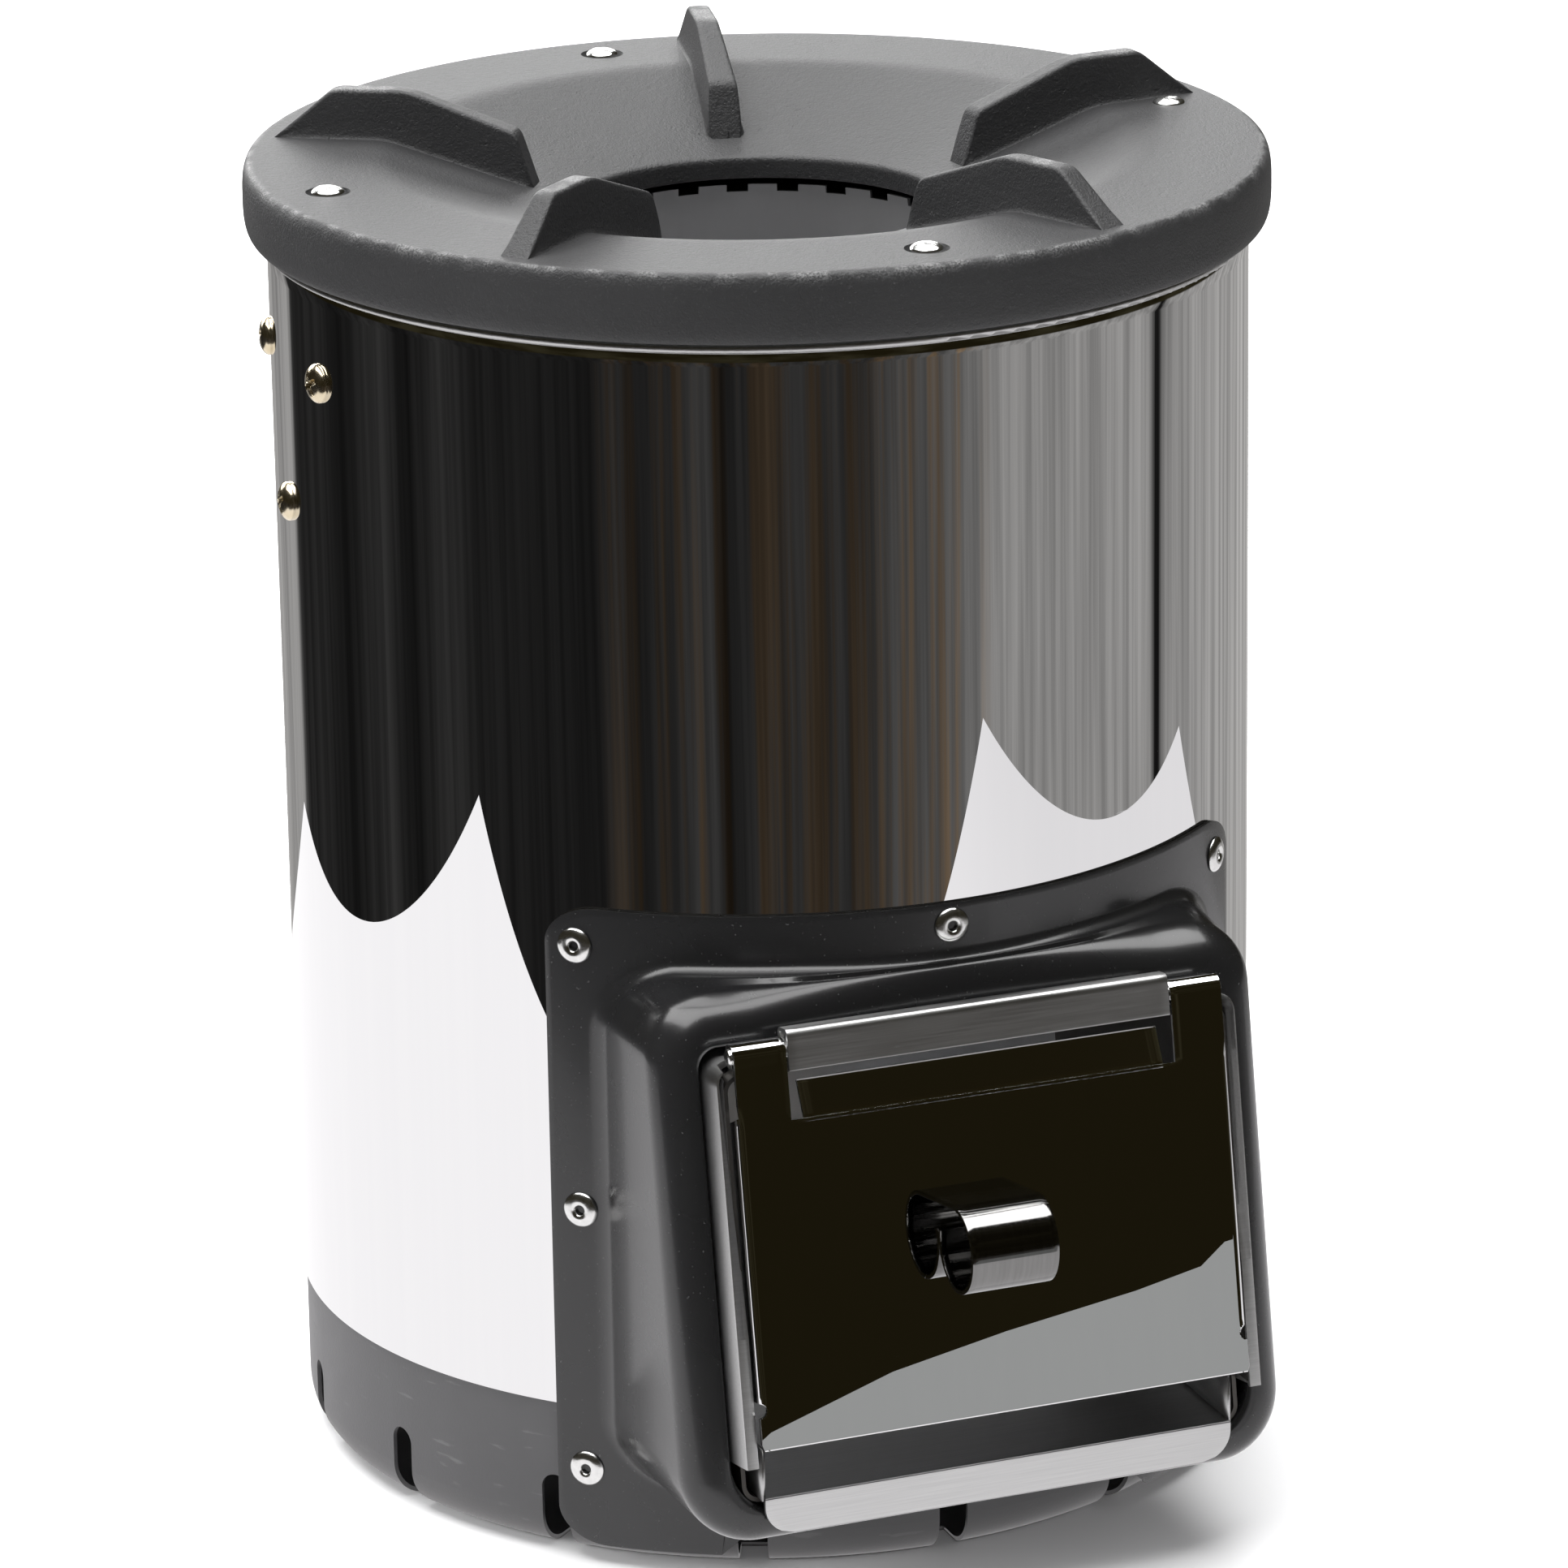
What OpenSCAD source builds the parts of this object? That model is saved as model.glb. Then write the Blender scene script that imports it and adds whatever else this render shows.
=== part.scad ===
// Portable wood-burning rocket stove. Millimetres, +Z up, base centre at the origin, door facing -Y.
// Angles called "turn" are measured about +Z from the door line, towards +X.

/* [Outer shell and base] */
// Outside radius of the polished shell
shell_r = 115; // [100:0.5:150]
// Thickness of the shell's sheet
shell_t = 0.8; // [0.5:0.1:1.5]
// Height of the shell's lower edge
shell_z0 = 38.6; // [34:0.1:44]
// Height of the iron rim's top face
rim_z = 312; // [255:1:400]
// Thickness of the base pan's sheet
pan_t = 1; // [0.6:0.1:1.5]
// Radius of the base pan's rounded lower edge
pan_edge_r = 10; // [4:0.5:12]
// Height of the base pan's collar inside the shell
collar_h = 13.4; // [6:0.1:20]
// Number of vent slots round the base
slot_count = 15; // [6:1:20]
// Width of one vent slot
slot_w = 7; // [3:0.5:10]
// Height of the top of a vent slot
slot_top_z = 20; // [14:0.5:22]
// Underside of the floor plate
floor_z = 30; // [27:0.5:33]
// Height of the floor plate's upturned edge
floor_edge_h = 20; // [5:0.5:25]

/* [Cast iron top] */
// Overhang of the iron rim beyond the shell
rim_overhang = 5.2; // [3:0.1:8]
// Height of the rim's skirt
rim_h = 16.4; // [13:0.1:22]
// Roundness of the rim's outer face, from its widest place to its edges
rim_round = 2.8; // [1:0.1:4]
// Thickness of the cast iron
iron_t = 5.5; // [4:0.1:7]
// Width of the flat ring, measured in from the shell
ring_w = 27; // [22:0.5:32]
// Radius of the central flue hole
flue_r = 43.5; // [36:0.5:46]
// Depth of the cone below the rim's top at the flue hole
cone_drop = 13.4; // [8:0.1:17]
// Number of pot fins
fin_count = 5; // [3:1:8]
// Turn of the first pot fin
fin_turn = 23; // [10:1:35]
// Height of the fins above the rim
fin_h = 11.7; // [8:0.1:20]
// Width of a fin at its top
fin_w_top = 5.3; // [3:0.1:8]
// Width of a fin at its foot
fin_w_foot = 9.6; // [8:0.1:14]
// Distance of the top bolts in from the shell
bolt_inset = 9.8; // [9:0.1:13]
// Radius of a top bolt's shank
bolt_r = 2.5; // [1.5:0.1:3]

/* [Feed door] */
// Half the width of the door
door_half_w = 60; // [48:0.5:63]
// Drop of the door's lower edge below its middle, down the slope
door_drop = 42.5; // [36:0.5:43]
// Rise of the hinge above the door's middle, up the slope
hinge_rise = 47.5; // [42:0.5:60]
// Height of the ears, from the door's shoulders to the hinge
ear_h = 15.5; // [13:0.5:20]
// Width of each ear
ear_w = 12.5; // [8:0.5:16]
// Slope of the door's plane from upright
door_slope = 10; // [5:1:14]
// Thickness of the door's sheet
door_t = 1; // [0.6:0.1:1.4]
// Distance of the door frame's front plane from the shell, at the door's middle
frame_proud = 24; // [22:0.5:32]
// Thickness of the door frame's sides
frame_side_t = 2; // [1:0.1:2.5]
// Radius of the hinge rod
rod_r = 2; // [1.4:0.1:2.5]
// Radial clearance of the ears round the hinge rod
rod_clear = 0.06; // [0.01:0.01:0.1]
// Outside radius of the curled handle
curl_r = 10.2; // [7:0.1:12]
// Length of the curled handle
curl_len = 21; // [12:0.5:40]
// Sideways place of the curled handle's middle
curl_x = -3.5; // [-20:0.5:20]

/* [Bezel] */
// Thickness of the bezel's sheet
bezel_t = 1; // [0.6:0.1:1.5]
// Width of the bezel's front face beside and above the door frame
face_w = 12; // [11.5:0.1:16]
// Drop of the raised box below the floor plate
box_drop = 8.5; // [6:0.1:10]
// Depth of the bezel's front face behind the door frame's front plane
setback = 9; // [6:0.5:12]
// Radius of the raised box's front edge
box_edge_r = 9; // [4:0.1:9.5]
// Width of the flange outside the box
flange_w = 9.4; // [8:0.1:14]
// Height of the flange above the box
flange_top_h = 13.6; // [12:0.1:20]
// Lower edge of the flange
flange_z0 = 5; // [1:0.5:8]
// Radius of a rivet's head
rivet_head_r = 4.2; // [3:0.1:4.5]

/* [Fuel shelf and burn chamber] */
// Rise of the shelf's floor above the floor plate's underside
shelf_rise = 5.5; // [5.3:0.1:7]
// Side clearance between the shelf and the feed tunnel
shelf_gap = 2.85; // [0.5:0.05:6]
// Height of the shelf's side walls above its floor
shelf_wall_h = 11.5; // [5:0.5:12]
// Length of the shelf behind its lip
shelf_len = 122; // [110:1:140]
// Width of insulation round the burn chamber's foot
wool_w = 39; // [32:0.5:40]
// Radius of the burn chamber at its notched rim
chamber_r1 = 46.8; // [40:0.1:56]
// Gap between the burn chamber's rim and the iron above it
flue_gap = 2.1; // [1:0.1:4]
// Thickness of the burn chamber's sheet
chamber_t = 0.8; // [0.5:0.1:1.2]
// Number of notches in the burn chamber's rim
notch_count = 24; // [8:1:36]

/* [Side screws] */
// Radius of a side screw's shank
screw_r = 2.5; // [1.5:0.1:3]
// Radius of a side screw's head
screw_head_r = 4.6; // [4:0.1:6]
// Turn of the middle of the screw triangle
triangle_turn = 93.6; // [85:0.1:100]
// Half the angle between the two upper screws
triangle_half = 11.4; // [8:0.1:14]
// Drop of the two upper screws below the iron rim's top
triangle_drop = 40.6; // [36:0.1:50]
// Height of the two upper screws above the lower one
triangle_h = 33.9; // [20:0.1:45]

/* [Hidden] */
$fn = 96;
// Gap left between fixed sheets that lie together
snug = 0.05;
// Clearance between pieces that move past each other
run = 0.3;
// Radial clearance of fixed shanks in their holes
shank_gap = 0.1;
// Reach of the tools that only cut
far = 400;

shell_in = shell_r - shell_t;
pan_r = shell_in - snug;
pan_in = pan_r - pan_t;
pan_top_z = shell_z0 + collar_h;
floor_t = 1;
floor_top_z = floor_z + floor_t;

rim_r = shell_r + rim_overhang;
rim_z0 = rim_z - rim_h;
cone_r = shell_r - ring_w;
cone_z = rim_z - cone_drop;
fin_z = rim_z + fin_h;
bolt_circle_r = shell_r - bolt_inset;
// The bead is the rolled edge of the steel cover, and the iron skirt rests on it.
bead_r = 1.3;
bead_z = rim_z0 - bead_r - 0.02;
cover_t = 1;
cover_z = bead_z - bead_r;
cover_dip = 6;
shell_z1 = cover_z - snug;

// Heights up the slope of the door, from its middle
hinge_z = hinge_rise;
leaf_z0 = -door_drop;
leaf_z1 = hinge_z - ear_h;
// Depths behind the frame's front plane
hinge_y = 1.2;
knuckle_r = rod_r + rod_clear + door_t - 0.06;
leaf_y = hinge_y - knuckle_r;
ear_out = door_half_w - 0.5;
ear_in = ear_out - ear_w;
lip_half_w = ear_in - 0.5;
lip_t = 1;
hem_t = 1.1;
curl_t = 1;
curl_top_z = curl_r - 1;

shelf_z = floor_z + shelf_rise;
door_z = shelf_z + 55.5;
frame_y = shell_r + frame_proud;
frame_half_w = door_half_w + 1.5 + frame_side_t;
frame_top_z = door_z + (hinge_z - 1) * cos(door_slope);
frame_foot_z = door_z - 46;
mouth_half_w = frame_half_w + 0.5;
mouth_z0 = floor_top_z;

box_half_w = frame_half_w + face_w;
box_z0 = floor_z - box_drop;
box_z1 = frame_top_z + face_w - 0.8;
opening_half_w = box_half_w - 4.5;
flange_in = shell_r + snug;
flange_out = flange_in + bezel_t;
flange_half_w = box_half_w + flange_w;
flange_z1 = box_z1 + flange_top_h;
flange_corner_r = 9;
// The flange is cut away at the foot, in front of the middle vent slots.
gap_half_w = 52.7;
gap_z1 = 16;

rivet_r = 2;
rivet_turn = asin((box_half_w + flange_w / 2 - 0.6) / flange_out);
rivet_z0 = floor_z - 6;
rivet_z1 = flange_z1 - flange_corner_r;

tunnel_t = 1;
tunnel_out = frame_half_w - frame_side_t - snug;
tunnel_in = tunnel_out - tunnel_t;
tunnel_z0 = shelf_z - 2.2;
tunnel_z1 = frame_top_z - 3.4;
shelf_half_w = tunnel_in - shelf_gap;
shelf_t = 1;
lip_gap = 1.26;

chamber_r0 = shell_r - wool_w;
chamber_foot_z = floor_top_z + snug;
chamber_top_z = cone_z - iron_t + 0.5 - flue_gap;
notch_depth = 1.8;
notch_w = 5.2;

plate_t = 1.2;
plate_half_w = shell_r * sin(triangle_half) + 6.3;
triangle_z1 = rim_z - triangle_drop;
triangle_z0 = triangle_z1 - triangle_h;
screw_len = 10;
nut_h = 4;
bolt_head_r = bolt_r + 1.5;
recess_h = 1.7;

// ---- places that more than one piece uses ----

// The door's own frame: x across, y in from the frame's front plane, z up the slope.
module at_door() {
    translate([0, -frame_y, door_z])
        rotate([-door_slope, 0, 0])
            children();
}

// Everything behind the sloping plane at a depth y behind the frame's front plane.
module behind(y) {
    at_door()
        translate([-far / 2, y, -far / 2])
            cube([far, far / 2, far]);
}

// A flat shape drawn in X and Z, stretched forward from y = -y0 to y = -y1.
module forward(y0, y1) {
    translate([0, -y0, 0])
        rotate([90, 0, 0])
            linear_extrude(y1 - y0)
                children();
}

// Distance in front of the axis, at height z, of the sloping plane at a depth y.
function front(y, z) =
    frame_y - (z - door_z) * tan(door_slope) - y / cos(door_slope);

// Height up the slope, on the plane at a depth y, of a level height z.
function up_slope(y, z) = (z - door_z + y * sin(door_slope)) / cos(door_slope);

// A rectangle from z0 to z1, w wide each side of the middle, with corner radii for foot and top.
module window(w, z0, z1, r_foot, r_top) {
    union() {
        translate([-w + r_foot, z0])
            square([2 * (w - r_foot), z1 - z0 - r_top]);
        translate([-w + r_top, z0 + r_foot])
            square([2 * (w - r_top), z1 - z0 - r_foot]);
        translate([-w, z0 + r_foot])
            square([2 * w, z1 - z0 - r_foot - r_top]);
        for (s = [-1, 1]) {
            translate([s * (w - r_foot), z0 + r_foot])
                circle(r_foot);
            translate([s * (w - r_top), z1 - r_top])
                circle(r_top);
        }
    }
}

// A round bar that points outward from the axis, from radius r0 to r1.
module spoke(turn, z, r0, r1, r) {
    rotate([0, 0, turn])
        translate([0, -r0, z])
            rotate([90, 0, 0])
                cylinder(r = r, h = r1 - r0, $fn = 32);
}

module each_fin() {
    for (i = [0 : fin_count - 1])
        rotate([0, 0, fin_turn + i * 360 / fin_count])
            children();
}

module each_bolt() {
    for (i = [0 : 3])
        rotate([0, 0, i * 90])
            translate([0, -bolt_circle_r, 0])
                children();
}

// Turn and height of each rivet in the bezel's flange: three down each side and one at the top.
side_rivets = [rivet_z0, (rivet_z0 + rivet_z1) / 2, rivet_z1];
rivets = [
    for (s = [-1, 1])
        for (z = side_rivets)
            [s * rivet_turn, z],
    [0, flange_z1 - 5.3]
];

// Turn and height of each side screw on the left; the right mirrors them.
triangle = [
    [-triangle_turn + triangle_half, triangle_z1],
    [-triangle_turn - triangle_half, triangle_z1],
    [-triangle_turn, triangle_z0]
];

module screw_places(r0, r1, r) {
    for (s = [-1, 1])
        for (p = triangle)
            spoke(-s * p[0], p[1], r0, r1, r);
}

// ---- base ----

module dish(r, top, edge) {
    square([r - edge, top]);
    translate([0, edge])
        square([r, top - edge]);
    translate([r - edge, edge])
        circle(edge);
}

module base_pan() {
    color("#4a4a4c")
        difference() {
            rotate_extrude()
                intersection() {
                    difference() {
                        dish(pan_r, pan_top_z, pan_edge_r);
                        translate([0, pan_t])
                            dish(pan_in, pan_top_z, pan_edge_r - pan_t);
                    }
                    square([far, far]);
                }
            for (i = [0 : slot_count - 1])
                rotate([0, 0, i * 360 / slot_count]) {
                    forward(pan_r - pan_edge_r - 5, pan_r + 5)
                        translate([-slot_w / 2, -5])
                            square([slot_w, slot_top_z - slot_w / 2 + 5]);
                    spoke(0, slot_top_z - slot_w / 2, pan_in - 5, pan_r + 5, slot_w / 2);
                }
            forward(0, far)
                translate([-opening_half_w, floor_top_z + 0.5])
                    square([2 * opening_half_w, far]);
            for (p = rivets)
                if (p[1] < shell_z0)
                    spoke(p[0], p[1], pan_in - 5, pan_r + 5, rivet_r + shank_gap);
        }
}

module floor_plate() {
    color("#b8b8b6")
        difference() {
            rotate_extrude()
                difference() {
                    translate([0, floor_z])
                        square([pan_in - snug, floor_edge_h]);
                    translate([-1, floor_top_z])
                        square([pan_in - snug - floor_t + 1, floor_edge_h]);
                }
            forward(0, far)
                translate([-opening_half_w, floor_top_z])
                    square([2 * opening_half_w, far]);
        }
}

// ---- outer shell and bezel ----

module outer_shell() {
    color("#c9cacb")
        difference() {
            translate([0, 0, shell_z0])
                cylinder(r = shell_r, h = shell_z1 - shell_z0, $fn = 180);
            translate([0, 0, shell_z0 - 1])
                cylinder(r = shell_in, h = shell_z1 - shell_z0 + 2, $fn = 180);
            forward(0, far)
                window(opening_half_w, -50, box_z1 - bezel_t - 0.5, 10, 10);
            for (p = rivets)
                spoke(p[0], p[1], shell_in - 5, shell_r + 5, rivet_r + shank_gap);
            screw_places(shell_in - 5, shell_r + 5, screw_r + shank_gap);
        }
}

// The raised box as a solid, its skin moved in by o; its front edge is rounded in steps.
module bezel_block(o) {
    lean = [30, 60];
    w = box_half_w - box_edge_r;
    z0 = up_slope(setback, box_z0) + box_edge_r;
    z1 = up_slope(setback, box_z1) - box_edge_r;
    y0 = setback + box_edge_r;
    intersection() {
        forward(0, far)
            window(box_half_w - o, box_z0 + o, box_z1 - o, 18 - o, 14 - o);
        behind(setback + o);
        for (a = lean)
            at_door()
                translate([w, y0, 0])
                    rotate([0, 0, -a])
                        translate([-far, -far / 2, -far / 2])
                            cube([far + box_edge_r - o, far, far]);
        for (a = lean)
            at_door()
                translate([-w, y0, 0])
                    rotate([0, 0, a])
                        translate([-box_edge_r + o, -far / 2, -far / 2])
                            cube([far, far, far]);
        for (a = lean)
            at_door()
                translate([0, y0, z1])
                    rotate([a, 0, 0])
                        translate([-far / 2, -far / 2, -far])
                            cube([far, far, far + box_edge_r - o]);
        for (a = lean)
            at_door()
                translate([0, y0, z0])
                    rotate([-a, 0, 0])
                        translate([-far / 2, -far / 2, -box_edge_r + o])
                            cube([far, far, far]);
    }
}

module bezel() {
    color("#1c1c1d")
        difference() {
            union() {
                intersection() {
                    difference() {
                        cylinder(r = flange_out, h = far, $fn = 180);
                        translate([0, 0, -1])
                            cylinder(r = flange_in, h = far + 2, $fn = 180);
                    }
                    forward(0, far)
                        window(flange_half_w, flange_z0, flange_z1, flange_corner_r, flange_corner_r);
                }
                bezel_block(0);
            }
            bezel_block(bezel_t);
            forward(0, far)
                window(mouth_half_w, mouth_z0, frame_top_z + run, 12, 5);
            translate([0, 0, -1])
                cylinder(r = flange_in, h = far, $fn = 180);
            forward(0, flange_out + 1)
                translate([-gap_half_w, -5])
                    square([2 * gap_half_w, gap_z1 + 5]);
            for (p = rivets)
                spoke(p[0], p[1], shell_in - 5, flange_out + 5, rivet_r + shank_gap);
        }
}

// A blind rivet that stands on z = 0, with its set end below what it grips.
module rivet(grip) {
    difference() {
        union() {
            translate([0, 0, 0.02])
                cylinder(r = rivet_head_r, h = 0.5, $fn = 32);
            translate([0, 0, 0.52])
                cylinder(r1 = rivet_head_r, r2 = rivet_head_r - 1.4, h = 0.8, $fn = 32);
            translate([0, 0, -grip - 0.5])
                cylinder(r = rivet_r, h = grip + 0.7, $fn = 32);
            translate([0, 0, -grip - 1])
                cylinder(r = rivet_r + 0.9, h = 1, $fn = 32);
        }
        translate([0, 0, -1])
            cylinder(r = 1.1, h = 5, $fn = 24);
    }
}

module bezel_rivets() {
    color("#cfcfce")
        for (p = rivets)
            rotate([0, 0, p[0]])
                translate([0, -flange_out, p[1]])
                    rotate([90, 0, 0])
                        rivet(flange_out - (p[1] < pan_top_z ? pan_in : shell_in) + 0.1);
}

// ---- burn chamber, tunnel and insulation ----

// Outside radius of the burn chamber's cone at height z.
function chamber_r(z) =
    chamber_r1 + (chamber_r0 - chamber_r1) * (chamber_top_z - z) / (chamber_top_z - floor_top_z);

module chamber_solid(grow, z0, z1) {
    translate([0, 0, z0])
        cylinder(r1 = chamber_r(z0) + grow, r2 = chamber_r(z1) + grow, h = z1 - z0);
}

module burn_chamber() {
    color("#9a9894")
        difference() {
            union() {
                chamber_solid(0, chamber_foot_z, chamber_top_z);
                translate([0, 0, chamber_foot_z])
                    cylinder(r = chamber_r0 + 8, h = chamber_t);
            }
            chamber_solid(-chamber_t, chamber_foot_z - 0.001, chamber_top_z + 0.001);
            forward(0, far)
                window(tunnel_out + 0.2, tunnel_z0 - 0.2, tunnel_z1 + 0.2, 4, 4);
            for (i = [0 : notch_count - 1])
                rotate([0, 0, i * 360 / notch_count])
                    translate([-notch_w / 2, 0, chamber_top_z - notch_depth])
                        cube([notch_w, far, far]);
        }
}

module feed_tunnel() {
    color("#8f8d8a")
        difference() {
            intersection() {
                forward(0, far)
                    difference() {
                        window(tunnel_out, tunnel_z0, tunnel_z1, 4, 4);
                        window(tunnel_in, tunnel_z0 + tunnel_t, tunnel_z1 - tunnel_t, 3, 3);
                    }
                union() {
                    behind(setback + bezel_t + run);
                    intersection() {
                        behind(hem_t + run);
                        translate([-far / 2, -far, frame_foot_z + 1])
                            cube([far, far, far]);
                    }
                }
            }
            chamber_solid(0.1, floor_z, tunnel_z1 + 10);
        }
}

module insulation_jacket() {
    foot_z = chamber_foot_z + chamber_t + 0.75;
    top_z = cover_z - cover_dip - 3.5;
    color("#d9d5c8")
        difference() {
            translate([0, 0, foot_z])
                cylinder(r = pan_in - 1.4, h = top_z - foot_z);
            chamber_solid(0.5, foot_z - 0.001, top_z + 0.001);
            forward(0, far)
                window(tunnel_out + 3, -50, tunnel_z1 + 3, 4, 6);
            forward(shell_r - 55, far)
                window(opening_half_w, -50, box_z1 + 1, 10, 10);
            screw_places(shell_r - screw_len - 2, shell_r, screw_r + 3.5);
            for (s = [-1, 1])
                rotate([0, 0, s * triangle_turn])
                    translate([-plate_half_w - 1, -far - shell_r + 4.4, triangle_z0 - 12])
                        cube([2 * plate_half_w + 2, far, triangle_h + 24]);
        }
}

// ---- top ----

module top_cover() {
    neck_r = chamber_r(cover_z - cover_dip) + 0.4;
    neck_z = cover_z - cover_dip;
    cone_foot_r = cone_r + 6;
    color("#c4c4c2")
        difference() {
            union() {
                rotate_extrude()
                    polygon([
                        [neck_r, neck_z],
                        [neck_r, neck_z + cover_t],
                        [cone_foot_r, cover_z + cover_t],
                        [shell_r + 0.2, cover_z + cover_t],
                        [shell_r + 0.2, cover_z],
                        [cone_foot_r + 0.2, cover_z]
                    ]);
                rotate_extrude()
                    translate([shell_r + 0.3, bead_z])
                        circle(r = bead_r, $fn = 32);
            }
            each_bolt()
                cylinder(r = bolt_r + shank_gap, h = far, $fn = 32);
        }
}

// A point of the rim's outer face, which follows a rounded oblong from a = 90 at the top to -90.
function rim_point(a) = [
    rim_r - rim_round + rim_round * pow(abs(cos(a)), 2 / 3),
    rim_z - rim_h / 2 + rim_h / 2 * sign(a) * pow(abs(sin(a)), 2 / 3)
];

module cast_iron_top() {
    boss_z = cover_z + cover_t + snug;
    boss_r = bolt_r + 4.5;
    under_z = rim_z - iron_t;
    skirt_in = shell_r - 0.8;
    fin_in = flue_r + 9.5;
    fin_top_in = cone_r - 5;
    fin_top_out = cone_r + 12.5;
    fin_out = shell_r - 0.5;
    color("#3a3a3b")
        difference() {
            union() {
                rotate_extrude($fn = 180)
                    polygon(concat(
                        [
                            [flue_r, cone_z - iron_t + 0.5],
                            [flue_r, cone_z],
                            [cone_r, rim_z]
                        ],
                        [for (a = [90 : -15 : -90]) rim_point(a)],
                        [
                            [skirt_in, rim_z0],
                            [skirt_in, under_z],
                            [cone_r + 1, under_z]
                        ]
                    ));
                each_fin()
                    intersection() {
                        rotate([90, 0, -90])
                            translate([0, 0, -fin_w_foot])
                                linear_extrude(2 * fin_w_foot)
                                    polygon([
                                        [fin_in, cone_z - 1],
                                        [fin_in + 3.7, fin_z - 9.5],
                                        [fin_top_in, fin_z],
                                        [fin_top_out, fin_z],
                                        [fin_out, rim_z],
                                        [fin_out, rim_z - 3],
                                        [cone_r, rim_z - 3]
                                    ]);
                        rotate([90, 0, 0])
                            linear_extrude(far)
                                polygon([
                                    [-fin_w_foot / 2, cone_z - 4],
                                    [-fin_w_top / 2, fin_z],
                                    [fin_w_top / 2, fin_z],
                                    [fin_w_foot / 2, cone_z - 4]
                                ]);
                    }
                each_bolt()
                    translate([0, 0, boss_z])
                        cylinder(r = boss_r, h = under_z - boss_z + 1, $fn = 48);
            }
            each_bolt() {
                translate([0, 0, boss_z - 1])
                    cylinder(r = bolt_r + shank_gap, h = far, $fn = 32);
                translate([0, 0, rim_z - recess_h])
                    cylinder(r1 = bolt_head_r + 0.4, r2 = bolt_head_r + 1, h = recess_h + 0.01, $fn = 32);
            }
        }
}

module top_bolts() {
    head_z = rim_z - recess_h + 0.02;
    color("#c8c6c0")
        each_bolt() {
            translate([0, 0, cover_z - nut_h - 3])
                cylinder(r = bolt_r, h = head_z - cover_z + nut_h + 3.2, $fn = 32);
            translate([0, 0, head_z])
                cylinder(r = bolt_head_r, h = 0.7, $fn = 32);
            translate([0, 0, head_z + 0.7])
                cylinder(r1 = bolt_head_r, r2 = bolt_head_r - 1.4, h = 0.8, $fn = 32);
        }
}

// A hexagon nut round a shank of radius r.
module nut(r) {
    difference() {
        cylinder(r = r + 2.1, h = nut_h, $fn = 6);
        translate([0, 0, -1])
            cylinder(r = r + snug, h = nut_h + 2, $fn = 32);
    }
}

module top_nuts() {
    color("#b9b7b0")
        each_bolt()
            translate([0, 0, cover_z - nut_h - snug])
                nut(bolt_r);
}

// ---- side screws ----

module side_plates() {
    plate_out = shell_in - snug;
    color("#b4b3ae")
        for (s = [-1, 1])
            difference() {
                intersection() {
                    difference() {
                        cylinder(r = plate_out, h = far);
                        translate([0, 0, -1])
                            cylinder(r = plate_out - plate_t, h = far + 2);
                    }
                    rotate([0, 0, s * triangle_turn])
                        forward(0, far)
                            window(plate_half_w, triangle_z0 - 10, triangle_z1 + 10, 6, 6);
                }
                screw_places(plate_out - 8, shell_r, screw_r + shank_gap);
            }
}

module side_screws() {
    color("#cbb98f")
        for (s = [-1, 1])
            for (p = triangle)
                rotate([0, 0, -s * p[0]])
                    translate([0, -shell_r - 0.02, p[1]])
                        rotate([90, 0, 0])
                            difference() {
                                union() {
                                    translate([0, 0, -screw_len])
                                        cylinder(r = screw_r, h = screw_len + 0.5, $fn = 32);
                                    cylinder(r = screw_head_r, h = 1.2, $fn = 40);
                                    translate([0, 0, 1.2])
                                        cylinder(r1 = screw_head_r, r2 = screw_head_r - 1.7, h = 1.4, $fn = 40);
                                }
                                for (a = [0, 90])
                                    rotate([0, 0, a + 30])
                                        translate([-2.4, -0.5, 1.1])
                                            cube([4.8, 1, 3]);
                            }
}

module side_nuts() {
    color("#b9b7b0")
        for (s = [-1, 1])
            for (p = triangle)
                rotate([0, 0, -s * p[0]])
                    translate([0, -shell_in + plate_t + 0.2, p[1]])
                        rotate([-90, 0, 0])
                            nut(screw_r);
}

// ---- feed door ----

module door_frame() {
    color("#c2c1be") {
        difference() {
            intersection() {
                forward(frame_y - 30, far)
                    difference() {
                        window(frame_half_w, mouth_z0 - 11, frame_top_z, 4, 5);
                        window(frame_half_w - frame_side_t, mouth_z0 - 12, frame_top_z - 2, 4, 4);
                    }
                behind(0);
                translate([-far / 2, -far, frame_foot_z])
                    cube([far, far, far]);
            }
            hinge_room();
        }
        difference() {
            intersection() {
                forward(frame_y - 30, far)
                    difference() {
                        window(frame_half_w - 0.5, mouth_z0 - 11, frame_top_z - 0.5, 4, 5);
                        window(door_half_w + 0.6, mouth_z0 - 12, frame_top_z - 2.6, 3, 4);
                    }
                difference() {
                    behind(0);
                    behind(hem_t);
                }
                translate([-far / 2, -far, frame_foot_z])
                    cube([far, far, far]);
            }
            hinge_room();
        }
        at_door()
            rolled_lip();
    }
}

// Room in the frame for the rod and the ears that turn on it.
module hinge_room() {
    at_door()
        translate([-door_half_w - 1.5, -10, hinge_z - 7.5])
            cube([2 * door_half_w + 3, 10 + hinge_y + knuckle_r + 0.6, 20]);
}

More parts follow.
